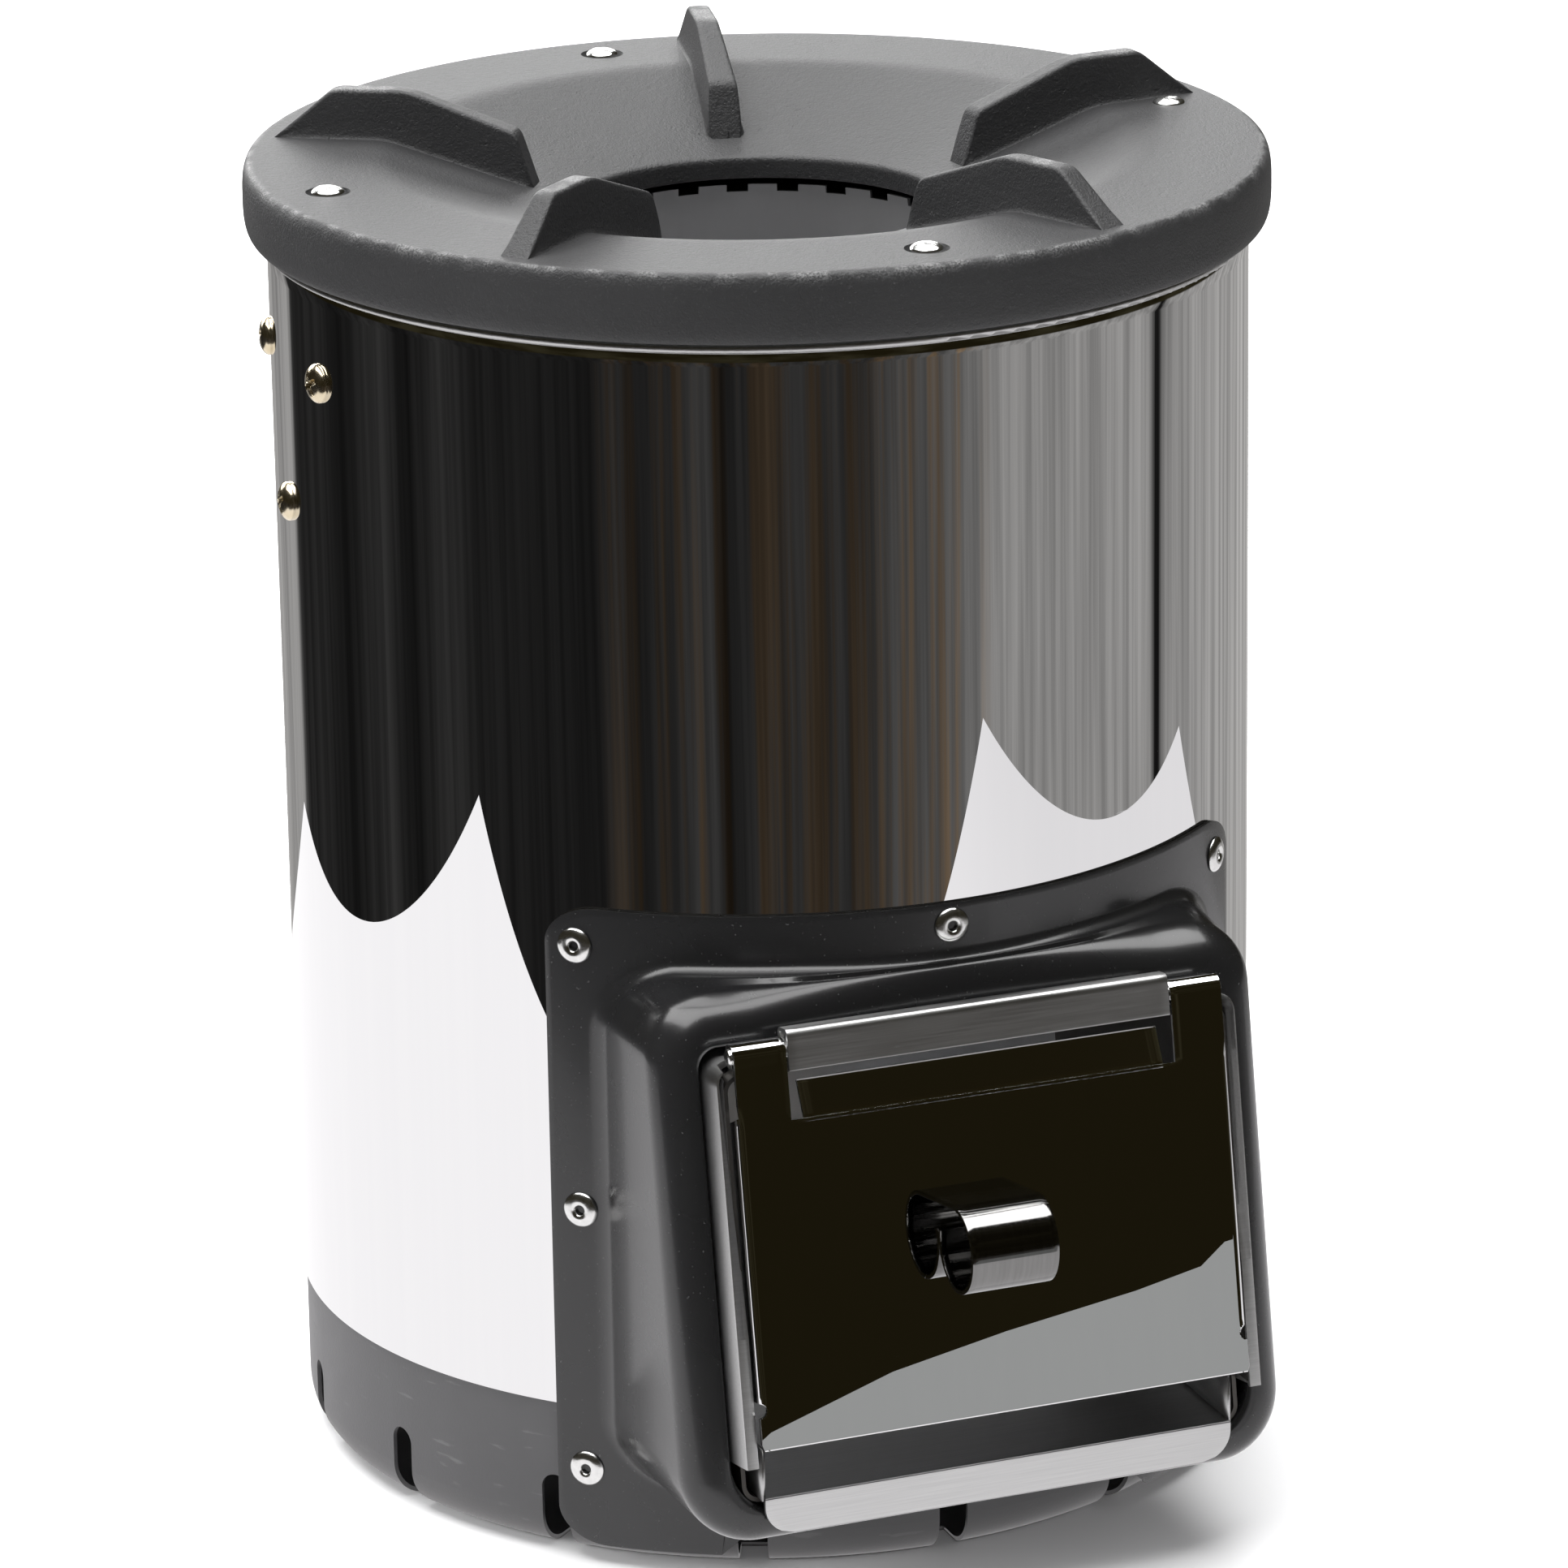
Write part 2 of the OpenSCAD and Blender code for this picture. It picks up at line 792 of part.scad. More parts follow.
// The frame's top edge, which comes forward between the ears and wraps over the rod.
module rolled_lip() {
    top_z = hinge_z + 5;
    back_y = hinge_y + rod_r + 0.1;
    foot_z = hinge_z - 2.1;
    translate([-lip_half_w, leaf_y, hinge_z - 4.5])
        cube([2 * lip_half_w, lip_t - 0.1, 9.5]);
    translate([-lip_half_w, leaf_y, top_z - lip_t])
        cube([2 * lip_half_w, back_y + lip_t - leaf_y, lip_t]);
    translate([-lip_half_w, back_y, foot_z])
        cube([2 * lip_half_w, lip_t, top_z - foot_z]);
    translate([-lip_half_w, back_y, foot_z])
        cube([2 * lip_half_w, 3, 1.9]);
}

module hinge_rod() {
    rod_half = door_half_w + 0.2;
    color("#b0aeaa")
        at_door()
            translate([-rod_half, hinge_y, hinge_z])
                rotate([0, 90, 0])
                    cylinder(r = rod_r, h = 2 * rod_half, $fn = 48);
}

// A box from x0 to x1 on the right, and its mirror image on the left.
module both_sides(x0, x1, y, z, dy, dz) {
    for (s = [-1, 1])
        translate([min(s * x0, s * x1), y, z])
            cube([x1 - x0, dy, dz]);
}

module door_panel() {
    side_z0 = leaf_z0 + 11;
    relief_r = 1.7;
    tab_w = 3;
    color("#d0d0ce")
        at_door()
            difference() {
                union() {
                    translate([-door_half_w, leaf_y, leaf_z0])
                        cube([2 * door_half_w, door_t, leaf_z1 - leaf_z0]);
                    both_sides(ear_in, ear_out, leaf_y, leaf_z1 - 1, door_t, ear_h + 1);
                    both_sides(ear_in - tab_w, ear_in, leaf_y, leaf_z1 - 1, door_t, 1);
                    both_sides(door_half_w - door_t, door_half_w, leaf_y, side_z0, 6, leaf_z1 - side_z0);
                    for (s = [-1, 1])
                        translate([min(s * ear_in, s * ear_out), hinge_y, hinge_z])
                            rotate([0, 90, 0])
                                cylinder(r = knuckle_r, h = ear_w, $fn = 48);
                    translate([-ear_in + tab_w, leaf_y, leaf_z1 - 0.2])
                        rotate([-20, 0, 0])
                            cube([2 * (ear_in - tab_w), door_t, 9]);
                }
                translate([-far / 2, hinge_y, hinge_z])
                    rotate([0, 90, 0])
                        cylinder(r = rod_r + rod_clear, h = far, $fn = 48);
                translate([curl_x - curl_len / 2 - 0.2, leaf_y - 1, curl_top_z - curl_t - 0.4])
                    cube([curl_len + 0.4, door_t + 2, curl_t + 0.6]);
                for (s = [-1, 1])
                    for (z = [side_z0 - relief_r, leaf_z1 + relief_r])
                        translate([s * door_half_w, leaf_y - 1, z])
                            rotate([-90, 0, 0])
                                cylinder(r = relief_r, h = 8, $fn = 24);
            }
}

module curl_handle() {
    cy = leaf_y - curl_r - 0.02;
    cz = curl_top_z - curl_r;
    back_y = leaf_y + door_t + snug;
    color("#c6c5c2")
        at_door()
            translate([curl_x - curl_len / 2, 0, 0])
                union() {
                    difference() {
                        translate([0, cy, cz])
                            rotate([0, 90, 0])
                                cylinder(r = curl_r, h = curl_len, $fn = 64);
                        translate([-1, cy, cz])
                            rotate([0, 90, 0])
                                cylinder(r = curl_r - curl_t, h = curl_len + 2, $fn = 64);
                        translate([-1, cy, cz + 2])
                            cube([curl_len + 2, far, curl_r - 2 - curl_t]);
                    }
                    translate([0, cy, curl_top_z - curl_t])
                        cube([curl_len, back_y + curl_t - cy, curl_t]);
                    translate([0, back_y, curl_top_z - curl_t])
                        cube([curl_len, curl_t, 8]);
                }
}

// ---- fuel shelf ----

module fuel_shelf() {
    lip_y = front(setback, mouth_z0) + lip_gap;
    under_z = shelf_z - shelf_t;
    color("#c9c9c7")
        union() {
            translate([-shelf_half_w, -lip_y, under_z])
                cube([2 * shelf_half_w, shelf_len, shelf_t]);
            both_sides(shelf_half_w - shelf_t, shelf_half_w, -lip_y, under_z, shelf_len, shelf_wall_h + shelf_t);
            translate([-shelf_half_w, -lip_y + shelf_len - shelf_t, under_z])
                cube([2 * shelf_half_w, shelf_t, shelf_t + 5.5]);
            forward(lip_y, lip_y + shelf_t)
                window(shelf_half_w, shelf_z - 9.2, shelf_z, 7, 0.4);
        }
}

base_pan();
floor_plate();
outer_shell();
bezel();
bezel_rivets();
burn_chamber();
feed_tunnel();
insulation_jacket();
top_cover();
cast_iron_top();
top_bolts();
top_nuts();
side_plates();
side_screws();
side_nuts();
door_frame();
hinge_rod();
door_panel();
curl_handle();
fuel_shelf();
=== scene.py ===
import math

import bmesh
import bpy
import numpy as np
from mathutils import Matrix, Vector


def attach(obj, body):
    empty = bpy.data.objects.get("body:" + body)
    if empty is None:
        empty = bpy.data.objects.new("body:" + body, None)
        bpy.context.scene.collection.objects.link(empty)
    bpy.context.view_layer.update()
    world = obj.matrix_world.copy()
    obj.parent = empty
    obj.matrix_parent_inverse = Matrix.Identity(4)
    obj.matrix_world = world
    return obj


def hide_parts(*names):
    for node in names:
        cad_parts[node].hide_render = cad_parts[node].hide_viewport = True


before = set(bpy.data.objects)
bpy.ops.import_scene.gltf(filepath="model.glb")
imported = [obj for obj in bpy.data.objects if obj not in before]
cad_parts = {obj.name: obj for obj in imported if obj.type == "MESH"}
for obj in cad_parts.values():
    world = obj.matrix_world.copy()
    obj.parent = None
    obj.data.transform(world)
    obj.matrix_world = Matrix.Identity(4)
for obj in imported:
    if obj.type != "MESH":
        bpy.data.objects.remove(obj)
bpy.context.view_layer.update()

# ---------------------------------------------------------------------------
# Base pan. Spun and pressed from 1 mm steel, with punched vent slots round its
# foot, and sprayed with a satin dark grey heat-resistant paint.
# ---------------------------------------------------------------------------


class Value:
    """One output of a shader node, which adds a Math node when it is used in arithmetic."""

    def __init__(self, finish, socket):
        self.finish, self.socket = finish, socket

    def _math(self, operation, *terms):
        return self.finish.node("Math", {"operation": operation}, dict(enumerate(terms)))

    def __add__(self, other):
        return self._math("ADD", self, other)

    def __sub__(self, other):
        return self._math("SUBTRACT", self, other)

    def __rsub__(self, other):
        return self._math("SUBTRACT", other, self)

    def __mul__(self, other):
        return self._math("MULTIPLY", self, other)

    def __truediv__(self, other):
        return self._math("DIVIDE", self, other)

    __radd__, __rmul__ = __add__, __mul__


class Finish:
    """A material under construction, with its one Principled shader."""

    def __init__(self, name, **constants):
        self.material = bpy.data.materials.new(name)
        self.material.use_nodes = True
        self.tree = self.material.node_tree
        self.shader = self.tree.nodes["Principled BSDF"]
        for socket, value in constants.items():
            self.shader.inputs[socket.replace("_", " ")].default_value = value
        self.place = self.node("TexCoord", {}, {}, "Object")

    def node(self, kind, settings, inputs, output=0):
        """Adds a node of that kind, makes its settings, then sets or links its inputs."""
        made = self.tree.nodes.new("ShaderNode" + kind)
        for name, value in settings.items():
            if name == "stops":
                ramp = made.color_ramp
                for i, (position, colour) in enumerate(value):
                    stop = ramp.elements[i] if i < 2 else ramp.elements.new(position)
                    stop.position, stop.color = position, (*colour, 1)
            else:
                setattr(made, name, value)
        for name, value in inputs.items():
            if isinstance(value, Value):
                self.tree.links.new(value.socket, made.inputs[name])
            else:
                made.inputs[name].default_value = value
        return Value(self, made.outputs[output])

    def stretched(self, x, y, z):
        """Object coordinates in metres, scaled differently along each axis."""
        return self.node("Mapping", {}, {"Vector": self.place, "Scale": (x, y, z)})

    def noise(self, scale, detail=2.0, place=None, roughness=0.5):
        return self.node("TexNoise", {}, {"Vector": place or self.place, "Scale": scale,
                                          "Detail": detail, "Roughness": roughness})

    def band(self, value, low, high, to_low=0.0, to_high=1.0):
        """value carried from the span low..high to the span to_low..to_high, with soft ends."""
        return self.node("MapRange", {"interpolation_type": "SMOOTHSTEP"},
                         {"Value": value, "From Min": low, "From Max": high,
                          "To Min": to_low, "To Max": to_high})

    def blend(self, share, one, other):
        """Colour one where share is 0, and colour other where it is 1."""
        made = self.tree.nodes.new("ShaderNodeMix")
        made.data_type = "RGBA"
        self.tree.links.new(share.socket, made.inputs["Factor"])
        for name, colour in (("A", one), ("B", other)):
            socket = next(s for s in made.inputs if s.name == name and s.type == "RGBA")
            if isinstance(colour, Value):
                self.tree.links.new(colour.socket, socket)
            else:
                socket.default_value = (*colour, 1)
        return Value(self, next(s for s in made.outputs if s.type == "RGBA"))

    def feed(self, **values):
        """Links values to the shader's own sockets."""
        for name, value in values.items():
            self.tree.links.new(value.socket, self.shader.inputs[name.replace("_", " ")])

    def bump(self, height, distance, strength):
        """A normal that leans as if the height stood that distance, in metres, proud."""
        return self.node("Bump", {}, {"Height": height, "Distance": distance, "Strength": strength})


pan_paint = Finish("satin_grey_paint", Roughness=0.5)
mottle = pan_paint.noise(60, 4)
orange_peel = pan_paint.noise(1400, 2)
scuffs = pan_paint.band(pan_paint.noise(1, 6, pan_paint.stretched(90, 90, 500)), 0.62, 0.72)
height = pan_paint.node("SeparateXYZ", {}, {"Vector": pan_paint.place}, 2)
dusty_foot = pan_paint.band(height, 0.014, 0.0, 0, 0.5) * mottle
paint = pan_paint.blend(mottle, (0.050, 0.049, 0.051), (0.066, 0.065, 0.068))
paint = pan_paint.blend(scuffs * 0.5, paint, (0.13, 0.13, 0.132))
pan_paint.feed(
    Base_Color=pan_paint.blend(dusty_foot, paint, (0.1, 0.095, 0.09)),
    Roughness=mottle * 0.16 + 0.36 + scuffs * 0.1,
    Normal=pan_paint.bump(orange_peel, 0.00006, 0.6),
)


def wear(node, finish):
    """Gives a CAD node's own mesh a finish."""
    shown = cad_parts[node]
    shown.data.materials.clear()
    shown.data.materials.append(finish.material)


wear("base_pan", pan_paint)

# ---------------------------------------------------------------------------
# Floor plate. A plain stainless disc with an upturned edge, which closes the
# air space in the base and carries the burn chamber.
# ---------------------------------------------------------------------------
plain_steel = Finish("mill_steel", Metallic=0.85)
cloud = plain_steel.noise(45, 4)
rolled = plain_steel.noise(1, 5, plain_steel.stretched(700, 700, 30))
tint = plain_steel.band(plain_steel.noise(9, 3), 0.5, 0.75)
steel = plain_steel.blend(cloud, (0.55, 0.55, 0.56), (0.70, 0.70, 0.71))
plain_steel.feed(
    Base_Color=plain_steel.blend(tint * 0.45, steel, (0.50, 0.42, 0.30)),
    Roughness=rolled * 0.14 + 0.42,
    Normal=plain_steel.bump(rolled, 0.00003, 0.5),
)
wear("floor_plate", plain_steel)

# ---------------------------------------------------------------------------
# Outer shell. One sheet of 0.8 mm stainless steel, polished to a mirror, rolled
# into a tube and seam welded at the back. The bezel covers its opening.
# ---------------------------------------------------------------------------
MM = 0.001
SHELL_R, SHELL_T = 115.0, 0.8
SHELL_FOOT, SHELL_TOP = 38.6, 292.93


def cells(rows, cols, round_rows, round_cols, first=0):
    """The four corners of each cell in a grid of rows and columns, as a list of quads."""
    r = np.arange(rows if round_rows else rows - 1)
    c = np.arange(cols if round_cols else cols - 1)
    r, c = np.meshgrid(r, c, indexing="ij")
    here, there = r * cols, ((r + 1) % rows) * cols
    side = (c + 1) % cols
    return first + np.stack([here + c, here + side, there + side, there + c], -1)


def piece(name, grids, finish, body, stands_for=(), sharp=35, away=None, keep=None):
    """One mesh from grids of points in millimetres, each (points, rows closed, columns closed).
    Points that meet are merged and edges sharper than an angle stay sharp. Closed shapes face
    outwards; an open sheet faces away from a point."""
    points, quads, count = [], [], 0
    for i, (grid, round_rows, round_cols) in enumerate(grids):
        rows, cols = grid.shape[:2]
        quad = cells(rows, cols, round_rows, round_cols, count)
        if keep is not None and keep[i] is not None:
            quad = quad[keep[i]]
        points.append(grid.reshape(-1, 3))
        quads.append(quad.reshape(-1, 4))
        count += rows * cols
    mesh = bpy.data.meshes.new(name)
    mesh.from_pydata((np.concatenate(points) * MM).tolist(), [], np.concatenate(quads).tolist())
    work = bmesh.new()
    work.from_mesh(mesh)
    bmesh.ops.remove_doubles(work, verts=work.verts, dist=2e-6)
    bmesh.ops.dissolve_degenerate(work, edges=work.edges, dist=1e-6)
    bmesh.ops.delete(work, geom=[v for v in work.verts if not v.link_faces], context="VERTS")
    bmesh.ops.recalc_face_normals(work, faces=work.faces)
    if away is not None:
        centre = Vector(away) * MM
        outward = sum((f.calc_center_median() - centre).normalized().dot(f.normal) * f.calc_area()
                      for f in work.faces)
        if outward < 0:
            bmesh.ops.reverse_faces(work, faces=work.faces)
    work.to_mesh(mesh)
    work.free()
    mesh.shade_smooth()
    mesh.set_sharp_from_angle(angle=math.radians(sharp))
    mesh.materials.append(finish.material)
    made = bpy.data.objects.new(name, mesh)
    bpy.context.scene.collection.objects.link(made)
    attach(made, body)
    if stands_for:
        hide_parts(*stands_for)
    return made


def thicken(made, depth, round_edge=0.0):
    """Gives a sheet its thickness inwards, and rounds its cut edges."""
    wall = made.modifiers.new("wall", "SOLIDIFY")
    wall.thickness, wall.offset = depth * MM, -1
    if round_edge:
        edge = made.modifiers.new("edge", "BEVEL")
        edge.width, edge.segments = round_edge * MM, 2
        edge.limit_method, edge.angle_limit = "ANGLE", math.radians(50)


def capped(grid):
    """A run of sections with its two ends closed, each by a point at the end section's middle."""
    ends = [row.mean(1, keepdims=True) + 0 * row for row in (grid[:1], grid[-1:])]
    return np.concatenate([ends[0], grid, ends[1]])


def around(turn, radius, z):
    """Points at a turn from the door line, in degrees, a radius and a height."""
    turn, radius, z = np.broadcast_arrays(np.radians(turn), radius, z)
    return np.stack([radius * np.sin(turn), -radius * np.cos(turn), z], -1)


mirror = Finish("polished_steel", Metallic=1.0, Roughness=0.03)
faint_lines = mirror.noise(1, 3, mirror.stretched(300, 300, 4))
smudge = mirror.band(mirror.noise(26, 5, None, 0.6), 0.55, 0.75)
scratch = mirror.band(mirror.noise(1, 3, mirror.stretched(60, 60, 1500)), 0.70, 0.74)
mirror.feed(
    Base_Color=mirror.blend(faint_lines, (0.765, 0.765, 0.77), (0.79, 0.79, 0.79)),
    Roughness=smudge * 0.012 + scratch * 0.02 + 0.004,
    Normal=mirror.bump(faint_lines, 0.000002, 0.1),
)

OPENING_HALF, OPENING_TOP = 71.0, 146.5
OPENING_TURN = math.degrees(math.asin(OPENING_HALF / SHELL_R))
turns = np.concatenate([np.linspace(-180, -OPENING_TURN, 190),
                        np.linspace(-OPENING_TURN, OPENING_TURN, 104)[1:],
                        np.linspace(OPENING_TURN, 180, 190)[1:-1]])
heights = np.concatenate([[SHELL_FOOT, SHELL_FOOT + 0.25], np.linspace(39.4, OPENING_TOP, 36),
                          np.linspace(OPENING_TOP, SHELL_TOP - 0.3, 50)[1:], [SHELL_TOP]])
t, z = np.meshgrid(turns, heights)
# Rolled sheet is never a true cylinder: three soft waves, under a twentieth of a millimetre.
sway = 0.03 * np.sin(np.radians(3 * t) + 0.017 * z) + 0.02 * np.sin(np.radians(5 * t) - 0.03 * z + 1)
seam = 0.12 * np.exp(-((np.abs(t) - 180) / 1.1) ** 2)
lip = -0.12 * ((z < SHELL_FOOT + 0.1) | (z > SHELL_TOP - 0.1))
solid = ~((np.abs(t[:-1]) <= OPENING_TURN) & (np.roll(t, -1, 1)[:-1] <= OPENING_TURN + 0.001)
          & (t[:-1] >= -OPENING_TURN - 0.001) & (z[:-1] < OPENING_TOP - 0.1))
shell = piece("polished_shell", [(around(t, SHELL_R - 0.06 + sway + seam + lip, z), False, True)],
              mirror, "stove", ["outer_shell"], away=(0, 0, 160), keep=[solid])
thicken(shell, SHELL_T)

# ---------------------------------------------------------------------------
# Bezel. Deep drawn from 1 mm steel in one pressing: a flange rolled to the
# shell's curve, a raised box with soft corners, and a sloping front face with
# the feed mouth cut in it. Painted semi-gloss black.
# ---------------------------------------------------------------------------
SLOPE = math.radians(10)
FRAME_Y, DOOR_Z = 139.0, 91.0
FLANGE_R = 116.05
MOUTH_DEPTH, SOFT_EDGE, ROOT = 9, 8.4, 3.6
black_paint = Finish("semi_gloss_black", Roughness=0.3, Coat_Roughness=0.12)
peel = black_paint.noise(900, 2)
haze = black_paint.noise(38, 4)
dust = black_paint.band(black_paint.noise(1600, 1), 0.74, 0.78)
black_paint.feed(
    Base_Color=black_paint.blend(dust, (0.0105, 0.0105, 0.011), (0.06, 0.06, 0.06)),
    Roughness=haze * 0.1 + 0.22 + dust * 0.2,
    Coat_Weight=haze * 0.2 + 0.25,
    Normal=black_paint.bump(peel, 0.00005, 0.3),
)


def face_y(z, depth):
    """Y of the sloping plane at height z, a depth behind the door frame's front plane."""
    return -(FRAME_Y - (z - DOOR_Z) * math.tan(SLOPE) - depth / math.cos(SLOPE))


def oblong(half, foot, top, r_foot, r_top):
    """X and Z of an oblong with round corners, from the middle of its foot round by the right.
    Every oblong has the same number of points on each side, so that oblongs can be joined."""
    half, foot, top, r_foot, r_top = np.broadcast_arrays(half, foot, top, r_foot, r_top)
    run = np.concatenate([np.linspace(0, 0.69, 14), np.linspace(0.705, 0.745, 5),
                          [0.8, 0.87, 0.94, 1]])
    quarter = np.linspace(0, 1, 15)[1:-1] * math.pi / 2
    climb, level = np.linspace(0, 1, 34), np.linspace(0, 1, 30)[1:]
    g = lambda v: v[..., None]
    right = [
        (g(half - r_foot) * run, g(foot) + 0 * run),
        (g(half - r_foot) + g(r_foot) * np.sin(quarter),
         g(foot + r_foot) - g(r_foot) * np.cos(quarter)),
        (g(half) + 0 * climb, g(foot + r_foot) + g(top - r_top - foot - r_foot) * climb),
        (g(half - r_top) + g(r_top) * np.cos(quarter),
         g(top - r_top) + g(r_top) * np.sin(quarter)),
        (g(half - r_top) * (1 - level), g(top) + 0 * level),
    ]
    x = np.concatenate([p[0] + 0 * g(half) for p in right], -1)
    z = np.concatenate([p[1] + 0 * g(half) for p in right], -1)
    return (np.concatenate([x, -x[..., -2:0:-1]], -1), np.concatenate([z, z[..., -2:0:-1]], -1))


def on_flange(x, z):
    """Those places on the flange's curve."""
    return np.stack([x, -np.sqrt(FLANGE_R ** 2 - x ** 2), z], -1)


def on_face(x, z, depth):
    """Those places on the sloping plane, a depth behind the door frame's front."""
    return np.stack([x, face_y(z, depth), z], -1)


def box_outline(grow):
    """The raised box's outline, grown on every side."""
    return oblong(74.0 + grow, 22.2 - grow, 147.4 + grow, 17 + grow, 14 + grow)


# The mouth's edge is turned in, then comes the flat face out to where its rounded edge begins.
MOUTH_HALF, MOUTH_FOOT, MOUTH_TOP = 64, 31, 137.1
turned_in = np.array([0, 0, -0.25, -0.8])
x, z = oblong(MOUTH_HALF - turned_in, MOUTH_FOOT + turned_in, MOUTH_TOP - turned_in, 12, 5)
mouth = on_face(x, z, MOUTH_DEPTH + np.array([4.0, 0.8, 0.25, 0])[:, None])
edge_x, edge_z = box_outline(-SOFT_EDGE)
share = np.linspace(0, 1, 6)[1:-1, None]
face = on_face(x[-1] + (edge_x - x[-1]) * share, z[-1] + (edge_z - z[-1]) * share, MOUTH_DEPTH)
# The drawn wall: a quarter round out of the face, a nearly straight side, and a tight hollow root.
a = np.linspace(0, math.pi / 2, 12)
out = np.concatenate([-SOFT_EDGE + SOFT_EDGE * np.sin(a), np.linspace(0, 1, 7)[1:-1],
                      1.0 + (ROOT - 1.0) * (1 - np.cos(a))])
x, z = box_outline(out)
root_x, root_z = box_outline(ROOT)
tall = on_flange(root_x, root_z)[:, 1] - face_y(edge_z, MOUTH_DEPTH)
bulge, root = np.minimum(9.5, 0.55 * tall), np.minimum(4.2, 0.40 * tall)
down = np.concatenate([
    bulge * (1 - np.cos(a))[:, None],
    bulge + (tall - bulge - root) * np.linspace(0, 1, 7)[1:-1, None],
    tall - root + root * np.sin(a)[:, None]])
mix = down / tall
mix = mix * mix * (3 - 2 * mix)
from_face = face_y(z, MOUTH_DEPTH) + down
from_flange = on_flange(x, z)[..., 1] - (tall - down)
wall_y = (1 - mix) * from_face + mix * from_flange
wall = np.stack([x, wall_y, z], -1)
rim_x, rim_z = oblong(84.9, 5, 161.6, 9, 9)
# The flange's foot is cut up by 11 mm between the outer vent slots.
gap = np.clip((53.1 - np.abs(rim_x)) / 0.8, 0, 1)
rim_z = np.where(rim_z < 6, rim_z + 11 * gap * gap * (3 - 2 * gap), rim_z)
share = np.linspace(0, 1, 8)[1:, None]
flange = on_flange(root_x + (rim_x - root_x) * share, root_z + (rim_z - root_z) * share)
bezel = piece("drawn_bezel", [(np.concatenate([mouth, face, wall, flange]), False, True)],
              black_paint, "stove", ["bezel"], sharp=60, away=(0, 0, 84))
thicken(bezel, 0.95, 0.3)

# ---------------------------------------------------------------------------
# Bezel rivets. Seven bright stainless blind rivets, three down each side of the
# flange and one at the top, each with the dark hole that its mandrel left.
# ---------------------------------------------------------------------------
bright_steel = Finish("rivet_steel", Metallic=1.0)
turned = bright_steel.noise(700, 3)
bright_steel.feed(
    Base_Color=bright_steel.blend(turned, (0.66, 0.66, 0.65), (0.86, 0.86, 0.85)),
    Roughness=turned * 0.12 + 0.16,
    Normal=bright_steel.bump(bright_steel.noise(420, 3), 0.00012, 0.5),
)
RIVET_X, RIVET_HEIGHTS = 79.6, (24.0, 88.3, 152.6)


def spun(radius, height, steps=48):
    """A profile of radius and height, in millimetres, turned once about its own axis."""
    turn = np.linspace(0, 2 * math.pi, steps, endpoint=False)
    return np.stack([radius[:, None] * np.cos(turn), radius[:, None] * np.sin(turn),
                     height[:, None] + 0 * turn], -1)


def planted(shape, turn, radius, z, roll=0.0):
    """Stands a shape, whose own axis is Z, on the shell at a turn, pointing outwards."""
    a, r = math.radians(turn), math.radians(roll)
    x = shape[..., 0] * math.cos(r) - shape[..., 1] * math.sin(r)
    y = shape[..., 0] * math.sin(r) + shape[..., 1] * math.cos(r)
    out = radius + shape[..., 2]
    return np.stack([out * math.sin(a) + x * math.cos(a),
                     -out * math.cos(a) + x * math.sin(a), z + y], -1)


# From the hole's floor up its wall, over the domed head, under its edge and down the shank.
rivet_r = np.array([0.001, 1.0, 1.12, 1.25, 1.6, 2.2, 2.9, 3.5, 3.9, 4.15, 4.2, 4.1, 3.9,
                    2.4, 2.4, 0.001])
rivet_h = np.array([-2.2, -2.2, 0.6, 0.95, 1.18, 1.25, 1.12, 0.86, 0.6, 0.34, 0.16, 0.04, -0.2,
                    -0.3, -3.0, -3.0])
side_turn = math.degrees(math.asin(RIVET_X / FLANGE_R))
places = [(s * side_turn, h) for s in (-1, 1) for h in RIVET_HEIGHTS] + [(0, 156.3)]
piece("blind_rivets",
      [(planted(spun(rivet_r, rivet_h), turn, FLANGE_R + 0.05, h), False, True)
       for turn, h in places],
      bright_steel, "stove", ["bezel_rivets"], sharp=50)

# ---------------------------------------------------------------------------
# Burn chamber, feed tunnel and insulation. The cone and the tunnel are folded
# from plain stainless sheet, and ceramic wool fills the space round them.
# ---------------------------------------------------------------------------
wear("burn_chamber", plain_steel)
# The feed tunnel gets a dark, mottled base colour, far below the chamber's plain steel: painted
# shade inside the feed mouth.
tunnel_shade_steel = Finish("painted_shade_steel", Metallic=0.9)
shade_mottle = tunnel_shade_steel.noise(55, 5, None, 0.6)
tunnel_shade_steel.feed(
    Base_Color=tunnel_shade_steel.blend(shade_mottle, (0.055, 0.053, 0.05), (0.17, 0.16, 0.15)),
    Roughness=shade_mottle * 0.2 + 0.35,
    Normal=tunnel_shade_steel.bump(tunnel_shade_steel.noise(500, 3), 0.00004, 0.5),
)
wear("feed_tunnel", tunnel_shade_steel)
wool = Finish("ceramic_wool", Roughness=0.95)
fibre = wool.noise(1, 6, wool.stretched(500, 500, 90), 0.7)
wool.feed(
    Base_Color=wool.blend(fibre, (0.52, 0.5, 0.45), (0.78, 0.77, 0.72)),
    Normal=wool.bump(fibre, 0.0008, 0.8),
)
wear("insulation_jacket", wool)

# ---------------------------------------------------------------------------
# Top cover. A pressed stainless ring whose rolled bead shows as a bright line
# between the shell and the cast iron.
# ---------------------------------------------------------------------------
brushed = Finish("brushed_steel", Metallic=1.0, Anisotropic=0.4)
grain = brushed.noise(1, 5, brushed.stretched(40, 2600, 2600), 0.6)
cloud = brushed.noise(55, 4)
nick = brushed.band(brushed.noise(1, 2, brushed.stretched(300, 1500, 1500)), 0.7, 0.76)
brushed.feed(
    Base_Color=brushed.blend(grain, (0.44, 0.44, 0.44), (0.66, 0.66, 0.655)),
    Roughness=grain * 0.14 + cloud * 0.08 + nick * 0.1 + 0.27,
    Normal=brushed.bump(grain, 0.00002, 0.5),
)
wear("top_cover", brushed)

